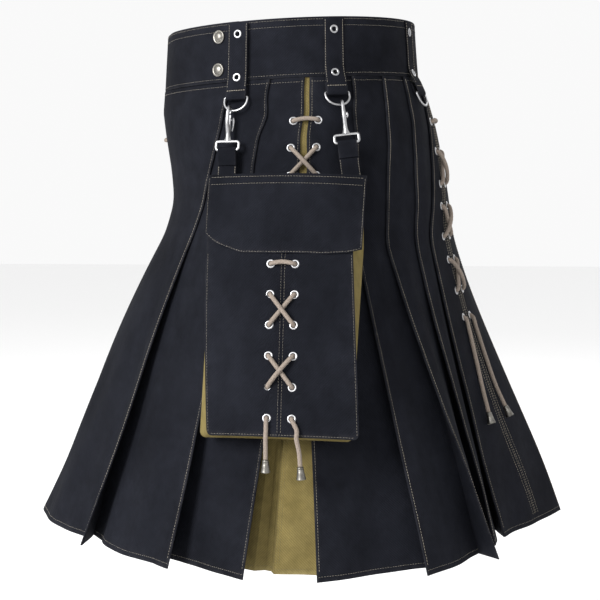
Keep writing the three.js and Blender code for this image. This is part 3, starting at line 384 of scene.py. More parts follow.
def sweep(points, radius, sides, closed=False, braid=None):
    """Rings of a tube along points: its vertices, faces, uv and braid height."""
    points = np.asarray(points, float)
    count = len(points)
    ahead = np.roll(points, -1, 0) - np.roll(points, 1, 0) if closed else np.gradient(points, axis=0)
    tangents = unit(ahead)
    normal = np.cross(tangents[0], (0.31, 0.52, 0.79))
    normals = []
    for tangent in tangents:
        normal = normal - tangent * normal.dot(tangent)
        normal = normal / np.linalg.norm(normal)
        normals.append(normal)
    normals = np.array(normals)
    run = run_along(points)
    if closed:
        end = normals[-1] - tangents[0] * normals[-1].dot(tangents[0])
        twist = math.atan2(np.cross(normals[0], end).dot(tangents[0]), normals[0].dot(end))
        spin = -twist * np.arange(count) / count
        normals = normals * np.cos(spin)[:, None] + np.cross(tangents, normals) * np.sin(spin)[:, None]
    sides_dir = np.cross(tangents, normals)
    angle = 2 * np.pi * np.arange(sides) / sides
    radii = (np.asarray(radius) * np.ones(count))[:, None] * np.ones(sides)
    height = np.ones((count, sides))
    if braid:
        pitch, strands, depth = braid
        a = np.cos(strands * angle + 2 * np.pi * run[:, None] / pitch)
        b = np.cos(strands * angle - 2 * np.pi * run[:, None] / pitch + np.pi)
        height = (np.maximum(a, b) + 1) / 2
        radii = radii + depth * (height - 0.6)
    verts = (points[:, None] + radii[..., None] * (normals[:, None] * np.cos(angle)[:, None]
             + sides_dir[:, None] * np.sin(angle)[:, None])).reshape(-1, 3)
    uv = np.stack([np.repeat(run, sides), np.tile(angle * np.mean(radii), count)], -1)
    return verts, tube_faces(count, sides, closed), uv, height.ravel()


def merged(parts):
    """Joins (verts, faces, ...) parts into one mesh's data."""
    verts, faces, start = [], [], 0
    for part in parts:
        verts.append(np.asarray(part[0], float))
        faces += [tuple(i + start for i in f) for f in part[1]]
        start += len(part[0])
    return np.concatenate(verts), faces


def lathe_points(profile, sides, origin, axis):
    """Rings about axis, one for each (radius, height) of the profile."""
    axis = unit(np.asarray(axis, float))
    side = unit(np.cross(axis, (0.3, 0.5, 0.81)))
    other = np.cross(axis, side)
    angle = 2 * np.pi * np.arange(sides) / sides
    ring = side * np.cos(angle)[:, None] + other * np.sin(angle)[:, None]
    return np.concatenate([origin + axis * h + ring * max(r, 1e-4) for r, h in profile])


def turned(profile, sides, origin, axis):
    """A solid turned on a lathe, from one end of its profile to the other."""
    verts = lathe_points(profile, sides, origin, axis)
    faces = tube_faces(len(profile), sides)
    arms = verts - origin
    volume = sum(np.dot(arms[f[0]], np.cross(arms[f[1]], arms[f[2]])) for f in faces[:-2])
    return verts, faces if volume > 0 else [f[::-1] for f in faces]


def smooth_path(points, step=1.2, power=0.5):
    """A centripetal Catmull-Rom curve through points, sampled evenly."""
    points = np.asarray(points, float)
    padded = np.vstack([2 * points[0] - points[1], points, 2 * points[-1] - points[-2]])
    out = []
    for p0, p1, p2, p3 in zip(padded, padded[1:], padded[2:], padded[3:]):
        t0 = 0.0
        t1 = t0 + max(np.linalg.norm(p1 - p0), 1e-3) ** power
        t2 = t1 + max(np.linalg.norm(p2 - p1), 1e-3) ** power
        t3 = t2 + max(np.linalg.norm(p3 - p2), 1e-3) ** power
        t = np.linspace(t1, t2, 24, endpoint=False)[:, None]
        a1 = (t1 - t) / (t1 - t0) * p0 + (t - t0) / (t1 - t0) * p1
        a2 = (t2 - t) / (t2 - t1) * p1 + (t - t1) / (t2 - t1) * p2
        a3 = (t3 - t) / (t3 - t2) * p2 + (t - t2) / (t3 - t2) * p3
        b1 = (t2 - t) / (t2 - t0) * a1 + (t - t0) / (t2 - t0) * a2
        b2 = (t3 - t) / (t3 - t1) * a2 + (t - t1) / (t3 - t1) * a3
        out.append((t2 - t) / (t2 - t1) * b1 + (t - t1) / (t2 - t1) * b2)
    dense = np.vstack(out + [points[-1:]])
    return resampled(dense, step)


def resampled(line, step):
    run = run_along(line)
    count = max(int(round(run[-1] / step)), 2)
    at = np.linspace(0, run[-1], count + 1)
    return np.stack([np.interp(at, run, line[:, k]) for k in range(line.shape[1])], -1)


# Stitching: each stitch is a low, round-ended bar of thread that lies on the cloth.
stitch_bins = {}


STITCH_SINK = 0.15
STITCH_FORM = (
    # along, aside, height
    (-0.5, 0.0, 0.0), (-0.36, -0.5, 0.0), (0.36, -0.5, 0.0), (0.5, 0.0, 0.0), (0.36, 0.5, 0.0),
    (-0.36, 0.5, 0.0), (-0.3, 0.0, 1.0), (0.3, 0.0, 1.0))
STITCH_FACES = ((0, 1, 6), (1, 2, 7, 6), (2, 3, 7), (3, 4, 7), (4, 5, 6, 7), (5, 0, 6), (5, 4, 3, 2, 1, 0))


def stitch(group, line, normals, pitch=3.0, length=2.4, width=0.42, proud=0.3):
    """Stitches along a line. normals is one direction, or one for each point of the line."""
    line = np.asarray(line, float)
    both = resampled(np.hstack([line, np.broadcast_to(normals, line.shape)]), pitch)
    middle = (both[:-1] + both[1:]) / 2
    point, normal = middle[:, :3], unit(middle[:, 3:])
    ahead = unit(both[1:, :3] - both[:-1, :3])
    side = unit(np.cross(normal, ahead))
    corners = [point + ahead * (a * length) + side * (s * width) + normal * (h * proud - STITCH_SINK * (1 - h))
               for a, s, h in STITCH_FORM]
    stitch_bins.setdefault(group, []).extend(np.stack(corners, 1))


def add_stitches(group, mat):
    verts, faces = merged([(one, STITCH_FACES) for one in stitch_bins[group]])
    add_piece("stitches_" + group, verts, faces, mat, sharp=80)


# The skirt's form

def on_ring(drop, degrees, offset=0.0):
    drop = np.asarray(drop, float)
    front, back, side = (np.interp(drop, RING[:, 0], RING[:, k]) for k in (1, 2, 3))
    centre, reach = (back - front) / 2, (back + front) / 2
    angle = np.radians(degrees)
    ray = np.stack(np.broadcast_arrays(np.cos(angle), np.sin(angle)), -1)
    a = (ray[..., 0] / side) ** 2 + (ray[..., 1] / reach) ** 2
    b = ray[..., 1] * centre / reach ** 2
    c = (centre / reach) ** 2 - 1
    radius = (b + np.sqrt(b * b - a * c)) / a
    return ray * (radius + offset)[..., None]


def height_at(drop, y):
    fade = np.clip((FELL_DROP - drop) / (FELL_DROP - BAND_HEIGHT), 0, 1)
    return -drop + TILT * y * fade


def lift(plan, drop):
    return np.concatenate([plan, height_at(drop, plan[..., 1])[..., None]], -1)


class Stations:
    """Columns of a panel: polar angles at the waist and hip, the place at the hem, and the layer."""

    def __init__(self, rows):
        rows = [np.array([r[0], r[1], r[2][0], r[2][1], r[3]], float) for r in rows]
        self.table = np.array(rows)

    def plan(self, drop):
        drop = np.asarray(drop, float)[:, None]
        waist, hip, hem_x, hem_y, layer = self.table.T
        blend = np.clip((drop - BAND_HEIGHT) / (FELL_DROP - BAND_HEIGHT), 0, 1)
        turn = waist + (hip - waist) * blend
        plan = on_ring(np.minimum(drop, FELL_DROP), turn + self.sway(turn, drop))
        fall = np.maximum((drop - FELL_DROP) / (LENGTH - FELL_DROP), 0)
        toward = fall - BILLOW * np.sin(np.radians(hip)) * fall * (1 - fall) ** 2
        plan = plan + (np.stack([hem_x, hem_y], -1) - plan) * toward[..., None]
        length = np.linalg.norm(plan, axis=-1)
        ripple = self.ripple(plan, drop)
        return plan * ((length + layer + ripple) / length)[..., None]

    @staticmethod
    def sway(turn, drop):
        """Degrees that the stitched-down pleats wander sideways, all layers together."""
        amount = np.clip((drop - 72) / 20, 0, 1) * np.clip((FELL_DROP + 60 - drop) / 80, 0, 1)
        wander = (0.28 * np.sin(drop / 13 + np.radians(turn) * 5)
                  + 0.2 * np.sin(drop / 7.3 - np.radians(turn) * 9 + 1))
        bend = 1.5 * np.exp(-((drop - 107) / 12) ** 2) - 0.9 * np.exp(-((drop - 128) / 11) ** 2)
        near_b = np.exp(-((np.mod(turn + 8 + 180, 360) - 180) / 5) ** 2)
        return amount * (wander + bend * near_b)

    @staticmethod
    def ripple(plan, drop):
        """A slow unevenness that all layers of the cloth share."""
        turn = np.arctan2(plan[..., 1], plan[..., 0])
        open_part = np.clip((drop - 250) / 332, 0, 1)
        amount = 0.25 * np.clip((drop - 90) / 60, 0, 1) + 2.0 * open_part ** 1.2
        behind_pocket = np.exp(-(turn / 0.42) ** 4) * np.clip((470 - drop) / 30, 0, 1)
        wave = (np.sin(9 * turn + 0.012 * drop + 1.0) + 0.6 * np.sin(17 * turn - 0.021 * drop + 2.2)
                + 0.35 * np.sin(29 * turn + 0.034 * drop))
        return amount * wave * (1 - 0.75 * behind_pocket)

    def points(self, drop):
        """The cloth's middle as rows of points, with the form's corners eased."""
        drop = np.asarray(drop, float)
        ease = np.clip((drop - 80) / 60 * 15, 1.0, 15)
        total = 0
        for shift, weight in ((-1, 1), (-0.5, 2), (0, 3), (0.5, 2), (1, 1)):
            total = total + weight / 9 * self.plan(drop + shift * ease)
        return lift(total, drop[:, None])


def fold_station(fold, tucked, hem, layer, reach=0.0):
    faces, waist, hip, tuck = fold[:4]
    back = [-t if tucked else reach for t in tuck]
    return (waist + math.degrees(faces * back[0] / WAIST_RADIUS),
            hip + math.degrees(faces * back[1] / HIP_RADIUS), hem, layer)


def between(a, b, t, bow=0.0):
    hem_a, hem_b = np.array(a[2], float), np.array(b[2], float)
    hem = lerp(hem_a, hem_b, t)
    chord = hem_b - hem_a
    out = unit(np.array([chord[1], -chord[0]]))
    if out.dot(hem) < 0:
        out = -out
    return (lerp(a[0], b[0], t), lerp(a[1], b[1], t), hem + out * bow * 4 * t * (1 - t), lerp(a[3], b[3], t))


def edge_hem(end):
    kind, key = end
    if kind == "seam":
        return np.array(SEAMS[key][2], float)
    return np.array(FOLDS[key][4 if kind == "edge" else 5], float)


TUCK_AT_HEM = 0.7
FOLD_TURN = (-90, -54, -18, 18, 54, 90)  # the round of a fold


def edge_stations(end, other):
    """From the free end inward, and the index of the fold's or seam's edge."""
    kind, key = end
    target = edge_hem(other)
    if kind == "seam":
        waist, hip, hem = SEAMS[key]
        other_waist = FOLDS[other[1]][1]
        turn = math.copysign(math.degrees(SEAM_GAP / WAIST_RADIUS), other_waist - waist)
        hem = np.array(hem, float)
        hem = hem + unit(target - hem) * SEAM_GAP
        return [(waist + turn, hip + turn, hem, TOP_LAYER if other[0] == "edge" else 0)], 0
    fold = FOLDS[key]
    edge, under = np.array(fold[4], float), np.array(fold[5], float)
    if kind == "under":
        reach = TUCK_AT_HEM * np.linalg.norm(edge - under)
        beneath = under + unit(target - under) * reach
        return [fold_station(fold, True, under, 0), fold_station(fold, False, beneath, 0)], 0
    inward = unit(target - edge)
    above = edge + inward * fold[3][1]
    tucked = fold_station(fold, True, under, PITCH)
    away = unit(under - edge)
    rows = []
    for past, layer in ((2.6, -0.9), (2.2, 0.6)):  # the return wraps round the next panel's start
        rows.append((tucked[0] - math.degrees(fold[0] * past / WAIST_RADIUS),
                     tucked[1] - math.degrees(fold[0] * past / HIP_RADIUS), under + away * past, layer))
    rows.append(tucked)
    low, high = fold_station(fold, False, edge, PITCH), fold_station(fold, True, above, TOP_LAYER)
    rows += [between(tucked, low, t) for t in (0.25, 0.5, 0.75)]
    half = PITCH / 2
    for angle in FOLD_TURN:
        reach = half * math.cos(math.radians(angle))
        layer = PITCH + half + half * math.sin(math.radians(angle))
        rows.append(fold_station(fold, False, edge - inward * reach, layer, reach))
    apex = len(rows) - 1
    rows += [between(rows[-1], high, t) for t in (0.06, 0.2, 0.4, 0.6, 0.8)]
    rows.append(high)
    return rows, apex


ROWS = np.concatenate([[BAND_HEIGHT + GAP], np.arange(70, FELL_DROP, 5.5), np.arange(FELL_DROP, 576, 7.0),
                       [577, 580, LENGTH]])
COLUMN_STEP = 7


class Panel:
    def __init__(self, name):
        start_end, finish_end, bow = PANELS[name]
        self.name = name
        start, start_apex = edge_stations(start_end, finish_end)
        finish, finish_apex = edge_stations(finish_end, start_end)
        finish.reverse()
        if finish[0][0] - start[-1][0] < -180:
            start = [(w - 360, h - 360, hem, layer) for w, h, hem, layer in start]
        a, b = start[-1], finish[0]
        span = max(np.linalg.norm(a[2] - b[2]), abs(math.radians(a[1] - b[1])) * HIP_RADIUS)
        count = max(int(span / COLUMN_STEP), 3)
        mids = [between(a, b, i / count, bow) for i in range(1, count)]
        rows = start + mids + finish
        self.first = start_apex
        self.last = len(rows) - 1 - finish_apex
        self.stations = Stations(rows)
        self.ends = (start_end[0], finish_end[0])
        self.P = self.stations.points(ROWS)
        self.N = grid_normals(self.P)
        edge = self.first if finish_end[0] == "under" else self.last
        self.N = outward(self.N, self.N[:, edge], self.P[:, edge] * (1, 1, 0))
        steps = np.linalg.norm(np.diff(self.P, axis=1), axis=2)
        self.run = np.concatenate([np.zeros((len(ROWS), 1)), np.cumsum(steps, axis=1)], axis=1)
        self.holes = []

    def at(self, end, distance, drop):
        """Point and normal at a distance inward from an edge's apex (end 0 is where it starts)."""
        column = (self.first, self.last)[end]
        r = np.interp(drop, ROWS, np.arange(len(ROWS)))
        low = min(int(r), len(ROWS) - 2)
        found = []
        for row in (low, low + 1):
            run = self.run[row]
            s = run[column] + (distance if end == 0 else -distance)
            found.append([np.array([np.interp(s, run, M[row, :, k]) for k in range(3)])
                          for M in (self.P, self.N)])
        t = r - low
        point = lerp(found[0][0], found[1][0], t)
        return point, unit(lerp(found[0][1], found[1][1], t))

    def line(self, end, distance, drops):
        pairs = [self.at(end, distance, d) for d in drops]
        return np.array([p for p, _ in pairs]), np.array([n for _, n in pairs])

    def width(self, row):
        return self.run[row, self.last] - self.run[row, self.first]

    def wear_and_braid_shade(self):
        edge = np.zeros_like(self.run)
        for end, kind in zip((self.first, self.last), self.ends):
            if kind == "edge":
                edge = np.maximum(edge, np.exp(-np.abs(self.run - self.run[:, end:end + 1]) / 1.6))
        hem = np.exp(-(LENGTH - ROWS) / 2.5)[:, None]
        return np.clip(np.maximum(edge, hem) * 0.85, 0, 1)

    def build(self):
        look = KHAKI if self.name.startswith("insert") else BLACK
        uv = np.stack([self.run, np.repeat(ROWS[:, None], self.P.shape[1], 1)], -1)
        self.piece = shell(self.name + "_cloth", self.P, self.N, CLOTH, look, holes=self.holes, uv=uv,
                           wear_and_braid_shade=self.wear_and_braid_shade(), nodes=[self.name])


panels = {name: Panel(name) for name in PANELS}

# Eyelets and laces
EYELET_HOLE = 3.6
EYELET_SIDES = 24
metal_rings = []


def add_eyelet(point, normal):
    """A pressed eyelet: a rounded flange and a barrel through the cloth. point is the cloth's middle."""
    top = CLOTH / 2
    profile = [(2.5, -1.0), (2.55, top - 0.1), (2.8, top + 0.35), (3.3, top + 0.6), (3.9, top + 0.62),
               (4.4, top + 0.42), (4.72, top + 0.1), (4.75, top - 0.25), (4.3, top - 0.3), (3.0, top - 0.4),
               (2.85, -1.0)]
    verts = lathe_points(profile, EYELET_SIDES, point, normal)
    faces = tube_faces(len(profile), EYELET_SIDES, closed=True)
    metal_rings.append((verts, [(a, d, c, b) for a, b, c, d in faces]))


def outside(eyelet, extra=0.0):
    return eyelet[0] + eyelet[1] * (CLOTH / 2 + CORD_CLEAR + CORD_RADIUS + extra)


def inside(eyelet, depth):
    return eyelet[0] - eyelet[1] * (depth + CLOTH / 2 + CORD_CLEAR + CORD_RADIUS)


def chamfered(corners):
    route = [corners[0][0]]
    for i in range(1, len(corners) - 1):
        point, smooth = corners[i]
        if smooth:
            route.append(point)
            continue
        for near in (corners[i - 1][0], corners[i + 1][0]):
            route.append(point + unit(near - point) * BEND)
    route.append(corners[-1][0])
    return np.array(route)


def lace_route(left, right, depth, free_left, free_right):
    """The criss-cross route, which starts and ends at the ends given as free_left and free_right."""
    def half(mine, other, over):
        corners = []
        near, far = mine, other
        corners.append((outside(near[0]), False))
        corners.append((inside(near[0], depth), False))
        for row in range(1, len(mine), 2):
            corners.append((inside(near[row], depth), False))
            corners.append((outside(near[row]), False))
            if row + 1 == len(mine):
                break
            rise = CROSS_RISE + (OVER_CORD if over else 0)
            crossing = (outside(near[row]) + outside(far[row + 1])) / 2 + near[row][1] * rise
            corners.append((crossing, True))
            near, far = far, near
            corners.append((outside(near[row + 1]), False))
            corners.append((inside(near[row + 1], depth), False))
        return corners, near is mine
    one, one_home = half(left, right, True)
    two, two_home = half(right, left, False)
    one += [(p, True) for p in (free_left if one_home else free_right)]
    two += [(p, True) for p in (free_right if two_home else free_left)]
    bar = (outside(left[0], CROSS_RISE) + outside(right[0], CROSS_RISE)) / 2 + np.array((0, 0, BAR_ARCH))
    return chamfered(one[::-1] + [(bar, True)] + two)


def add_cord_piece(name, path, node, sides=14):
    verts, faces, uv, height = sweep(path, CORD_RADIUS, sides, braid=(5.0, 4, 0.2))
    # The braid's height is stored on the cord's mesh; the cord's material turns it into painted shade in the
    # grooves.
    return add_piece(name, verts, faces, CORD, nodes=[node], uv=uv, wear_and_braid_shade=height, sharp=180)


BELL = [
    (0, 0), (2.7, 0), (3.1, -0.4), (3.3, -1.0), (3.3, -1.9), (3.0, -2.3), (3.5, -2.7), (3.6, -3.6), (3.3, -4.1),
    (3.6, -4.6), (4.0, -7.4), (4.5, -10.2), (4.9, -12.0), (5.1, -12.5), (5.0, -13.0), (4.4, -12.9),
    (3.6, -10.5), (2.6, -8), (0, -7)]


def add_bell(name, node, end, before):
    direction = unit(end - before)
    verts, faces = turned(BELL, 28, end + direction * GAP, -direction)
    return add_piece(name, verts, faces, SILVER, nodes=[node], sharp=50)


def add_lace(name, route, free=None):
    """Lays the cord. free gives the corner count of each free end, for laces whose ends hang."""
    path = smooth_path(route)
    if not free:
        add_cord_piece(name + "_cord", path, name)
        return
    cuts = []
    for corner in (route[free[0]], route[-1 - free[1]]):
        cuts.append(int(np.argmin(np.linalg.norm(path - corner, axis=1))))
    add_cord_piece(name + "_cord", path[cuts[0]:cuts[1] + 1], name)
    suffix = name.replace("lace_", "")
    for side, line in (("left", path[:cuts[0] + 1][::-1]), ("right", path[cuts[1]:])):
        piece = add_cord_piece("%s_free_%s" % (name, side), line, name)
        bell = add_bell("bell_%s_%s_cast" % (suffix, side), "bell_%s_%s" % (suffix, side), line[-1], line[-2])


def eyelet_column(name, end, distance, drops):
    """Eyelets down a panel, each with its hole."""
    column = [panels[name].at(end, distance, drop) for drop in drops]
    for eyelet in column:
        panels[name].holes.append((eyelet[0], EYELET_HOLE))
        add_eyelet(*eyelet)
    return column


END_DROP = 14  # below the last eyelet, where a lace without free ends stops behind the cloth
HIP_DROPS = (112, 141, 171)
HIP_EDGES = (("pleat_left_2", 1, 9), ("pleat_left_3", 1, 9))
columns = [eyelet_column(*edge, HIP_DROPS) for edge in HIP_EDGES]
ends = [[inside(panels[name].at(end, distance, HIP_DROPS[-1] + END_DROP), TOP_LAYER)]
        for name, end, distance in HIP_EDGES]
add_lace("lace_left_hip", lace_route(*columns, TOP_LAYER, *ends))

BACK_DROPS = (115, 148, 184, 208, 241, 268, 304, 335)
BACK_EDGES = (("back_left", 0, 13), ("back_right", 0, 13))
FREE_DROPS = (15, 50, 85, 110)
FREE_LIFTS = (0.3, 0.3, 0.8, 3.0)
FREE_DRIFTS = ((1, 7, 16, 24), (0, 0, 0, 0))  # away from the seam
columns = [eyelet_column(*edge, BACK_DROPS) for edge in BACK_EDGES]
ends = [[outside(panels[name].at(end, distance + drift, BACK_DROPS[-1] + drop), rise)
         for drift, drop, rise in zip(drifts, FREE_DROPS, FREE_LIFTS)]
        for (name, end, distance), drifts in zip(BACK_EDGES, FREE_DRIFTS)]
add_lace("lace_back", lace_route(*columns, TOP_LAYER, *ends), free=(4, 4))

# The front's lacing sits either side of the apron's middle.
FRONT_DROP = 124
FRONT_OFFSETS = (-13, 13)


def apron_middle(drop):
    """The distance along the apron's cloth to its middle."""
    row = int(np.argmin(np.abs(ROWS - drop)))
    return panels["front_apron"].width(row) / 2


columns = [eyelet_column("front_apron", 0, apron_middle(FRONT_DROP) + offset, [FRONT_DROP])
           for offset in FRONT_OFFSETS]
low = FRONT_DROP + END_DROP
ends = [[inside(panels["front_apron"].at(0, apron_middle(low) + offset, low), TOP_LAYER)]
        for offset in FRONT_OFFSETS]
add_lace("lace_front", lace_route(*columns, TOP_LAYER, *ends))

for panel in panels.values():
    panel.build()

# Stitching on the skirt
LONG_DROPS = np.arange(BAND_HEIGHT + 3, LENGTH - 2, 12.0)
HEM_ROW = int(np.argmin(np.abs(ROWS - (LENGTH - 6))))
for name, panel in panels.items():
    insert = name.startswith("insert")
    rows_at = {"edge": (1.5,), "seam": (1.3, 4.2) if insert else (1.6, 7.5), "under": ()}
    lines = [panel.line(end, distance, LONG_DROPS) for end in (0, 1) for distance in rows_at[panel.ends[end]]]
    for row in (HEM_ROW,) if insert else (HEM_ROW, 1):
        shown = slice(panel.first, panel.last + 1)
        lines.append((panel.P[row, shown], panel.N[row, shown]))
    for line, normal in lines:
        stitch("khaki" if insert else "skirt", line + normal * CLOTH / 2, normal)

# Waistband
BAND_START = -45.2
BAND_END = -16.2
band_turn = np.arange(BAND_START, BAND_END + 360 + 0.01, 1.0)
band_drop = np.array([0, 0.4, 1.2, 2.6, 10, 22, 34, 46, 56, 62.4, 63.8, 64.6, 65])
band_thick = np.array([1.0, 1.7, 2.25, 2.4, 2.4, 2.4, 2.4, 2.4, 2.4, 2.4, 2.25, 1.7, 1.0])


def smoothstep(x, low, high):
    t = np.clip((x - low) / (high - low), 0, 1)
    return t * t * (3 - 2 * t)


def band_point(degrees, drop):
    outer = smoothstep(np.asarray(degrees, float), BAND_START + 335, BAND_START + 352)
    roll = 0.25 * np.sin(np.radians(np.asarray(degrees) * 7)) * np.sin(np.pi * np.asarray(drop) / BAND_HEIGHT)
    return lift(on_ring(drop, degrees, BAND_OFFSET + roll + outer * (BAND_CLOTH + GAP)), drop)


P = band_point(band_turn[None, :], band_drop[:, None])
N = grid_normals(P)
N = outward(N, N, P * (1, 1, 0))
run = run_along(P[0])
uv = grid_uv(run, band_drop)
wear_and_braid_shade = np.exp(-np.minimum(band_drop, BAND_HEIGHT - band_drop) / 1.2)[:, None] * np.ones_like(run) * 0.8
band = shell("waistband_cloth", P, N, band_thick[:, None], BLACK, uv=uv, wear_and_braid_shade=wear_and_braid_shade, nodes=["waistband"])
for drop in (2.6, 9.5, 61.5):
    degrees = np.arange(BAND_START + 29.5, BAND_END + 359.5, 1.0)
    P = band_point(degrees, drop * np.ones_like(degrees))
    out = unit(P * (1, 1, 0))
    stitch("band", P + out * BAND_CLOTH / 2, out)


# Straps and D-rings

def frame_on_ring(degrees, drop, offset):
    at = lambda d, g: lift(on_ring(d, g, offset), np.asarray(float(d)))
    origin = at(drop, degrees)
    x = unit(at(drop, degrees + 2) - at(drop, degrees - 2))
    z = unit(at(drop - 6, degrees) - at(drop + 6, degrees))
    y = unit(np.cross(x, z))
    return {"origin": origin, "x": x, "y": y, "z": unit(np.cross(y, x))}


def in_frame(f, x, y, z):
    x, y, z = (np.asarray(v, float)[..., None] for v in (x, y, z))
    return f["origin"] + f["x"] * x + f["y"] * y + f["z"] * z


def rotated(v, axis, angle):
    swung = v * math.cos(angle) + np.cross(axis, v) * math.sin(angle)
    return swung + axis * axis.dot(v) * (1 - math.cos(angle))


def strap_section(lift_out):
    """Offset and drop along a strap: down over the waistband, round its D-ring and up again."""
    loop = WIRE + 0.95 + CLOTH / 2
    top = BAND_OFFSET + BAND_CLOTH / 2 + 0.5 + CLOTH / 2 + lift_out
    line = [(top - 0.4, 1.2), (top, 2.6), (top + 0.1, 14), (top + 0.3, 40), (top + 0.6, 56),
            (max(top + 1, BAR_OFFSET + loop - 0.8), 68), (BAR_OFFSET + loop - 0.15, 77)]
    line += arc((BAR_OFFSET, BAR_DROP), (loop, loop), range(0, 181, 15))
    line += [(BAR_OFFSET - loop + 0.1, 78), (BAR_OFFSET - loop + 0.2, 72)]
    return resampled(smooth_path(np.array(line), 1.0), 1.6)


def strap_point(degrees, across, offset, drop):
    turn = degrees + np.degrees(across / (WAIST_RADIUS + 4))
    return lift(on_ring(drop, turn, offset), np.asarray(drop, float))


def webbing(node, P, N, across, section, thick, holes=()):
    """A woven strap over the grid P. thick is its thickness in the middle, near its edge and at it."""
    half = across[-1]
    run = run_along(section)
    uv = grid_uv(across, run)
    wear_and_braid_shade = np.broadcast_to(np.exp(-(half - np.abs(across)) / 0.9) * 0.8, uv.shape[:2])
    depth = np.interp(np.abs(across), [0, half - 1.5, half - 0.5, half], [thick[0], *thick])[None, :]
    piece = shell(node + "_webbing", P, N, depth, BLACK, holes=holes, uv=uv, wear_and_braid_shade=wear_and_braid_shade, nodes=[node])


STRAP_ACROSS = np.array([-11.5, -11, -9.6, -6, -3, 0, 3, 6, 9.6, 11, 11.5])
STRAP_THICK = (1.35, 1.15, 0.6)
RING_OUTLINE = [(-RING_HALF, -RING_LEG), (-RING_HALF, -2.4), (-RING_HALF, -0.9), (-RING_HALF + 0.9, 0), (-6, 0),
                (0, 0), (6, 0), (RING_HALF - 0.9, 0), (RING_HALF, -0.9), (RING_HALF, -2.4)]
RING_OUTLINE = np.array(RING_OUTLINE + arc((0, -RING_LEG), (RING_HALF, -RING_ARC), range(0, 180, 9)))
hooked = {}
for name, (degrees, lift_out, reach) in STRAPS.items():
    section = strap_section(lift_out)
    P = strap_point(degrees, STRAP_ACROSS[None, :], section[:, :1], section[:, 1:])
    N = grid_normals(P)
    N = outward(N, N[3], unit(P[3]))
    front = section[:int(np.argmax(section[:, 1]))]

    def on_strap(across, drop):
        return strap_point(degrees, across, np.interp(drop, front[:, 1], front[:, 0]), drop)

    out = unit(on_strap(0, 30) * (1, 1, 0))
    holes = []
    for drop in (14, 61):
        wide, tall = on_strap(1, drop) - on_strap(-1, drop), on_strap(0, drop - 2) - on_strap(0, drop + 2)
        normal = unit(np.cross(wide, tall))
        add_eyelet(on_strap(0, drop), outward(normal, normal, out))
        holes.append((on_strap(0, drop), 3.2))
    webbing("strap_" + name, P, N, STRAP_ACROSS, section, STRAP_THICK, holes)
    face = STRAP_THICK[0] / 2
    for side in (-10.3, 10.3):
        line = np.array([on_strap(side, drop) for drop in np.arange(3, 74, 3.0)])
        stitch("straps", line + unit(line * (1, 1, 0)) * face, out, 2.8, 2.0, 0.5)
    line = np.array([on_strap(a, 75.5) for a in np.linspace(-10.8, 10.8, 9)])
    stitch("straps", line + out * face, out, 2.7, 2.5, 0.7, 0.45)
    ring = frame_on_ring(degrees, BAR_DROP, BAR_OFFSET)
    swing = -math.atan2(reach, RING_LEG + RING_ARC)
    for key in ("y", "z"):
        ring[key] = rotated(ring[key], ring["x"], swing)
    hooked[name] = ring
    wire = in_frame(ring, RING_OUTLINE[:, 0], 0, RING_OUTLINE[:, 1])
    verts, faces, _, _ = sweep(wire, WIRE, 14, closed=True)
    body = "ring_" + name if name in FREE_RINGS else BODY
    add_piece("d_ring_%s_wire" % name, verts, faces, NICKEL, body=body, nodes=["d_ring_" + name], sharp=180)

# Cargo pocket
AT = np.array((194.3, 10, -177.0))
TURN = math.radians(-6)
LEAN = math.radians(16.1)
HALF = 81
HEIGHT = 277
DEPTH = 26
BOW_RADIUS = 450
CORNER = 6
UPPER_SHARE = 0.3
LACE_OFFSET = 13
LACE_TOP = 96
LACE_PITCH = 32.4
FLAP_DROP = 84
FLAP_HALF = 83
HANGER_TAIL = 25
HOOK_LENGTH = 44
EYE_TOP = -35
out = np.array((math.cos(TURN), math.sin(TURN), 0))
UP = np.array((0, 0, 1.0))
pocket = {"origin": AT, "x": np.array((-out[1], out[0], 0)), "y": out * math.cos(LEAN) + UP * math.sin(LEAN),
          "z": UP * math.cos(LEAN) - out * math.sin(LEAN)}


def on_pocket(across, depth, drop):
    """A place on the pocket. It hangs askew: its front shifts toward the far side, more so lower down, and
    the far edge of its back is let out at the top."""
    across, depth, drop = (np.asarray(v, float) for v in (across, depth, drop))
    edge = np.clip(across / HALF, -1.1, 1.1)
    share = np.clip(drop / HEIGHT, 0, 1)
    fall = np.maximum(share - UPPER_SHARE, 0) / (1 - UPPER_SHARE)
    middle = lerp(5.4, 10.2, fall)
    side = np.where(edge < 0, lerp(1.8, 14, fall ** 1.5), lerp(-3.3, 11.2, fall))
    front = lerp(middle, side, np.minimum(edge ** 2, 1))
    back = np.interp(share, (0, 0.25, 0.8), (0.5, 5, 0.8)) * np.maximum(edge, 0)
    skew = lerp(back, front, np.clip(depth / DEPTH, 0, 1))
    return in_frame(pocket, across + skew, depth - across ** 2 / (2 * BOW_RADIUS), -drop)


def rounded_bottom(across):
    past = np.maximum(np.abs(across) - (HALF - CORNER), 0)
    return HEIGHT - CORNER + np.sqrt(np.maximum(CORNER ** 2 - past ** 2, 0))


def puff(across, drop):
    """The front's loose cloth: fuller in the middle of each half, pulled in at the lacing and seams."""
    a = np.abs(across)
    swell = 1.6 * np.sin(np.pi * np.clip((a - 2) / (HALF - 4), 0, 1))
    swell = swell * np.sin(np.pi * np.clip(drop / HEIGHT, 0, 1))
    pulled = 1 + np.cos((drop - LACE_TOP) * 2 * np.pi / LACE_PITCH)
    lacing = -0.5 * np.exp(-((a - LACE_OFFSET) / 8) ** 2) * pulled / 2
    wave = 0.45 * np.sin(across * 0.11 + drop * 0.03) * np.sin(drop * 0.045 + 1)
    inset = np.clip((HALF - a) / 12, 0, 1) * np.clip((HEIGHT - drop) / 14, 0, 1)
    return (swell + lacing + wave) * inset


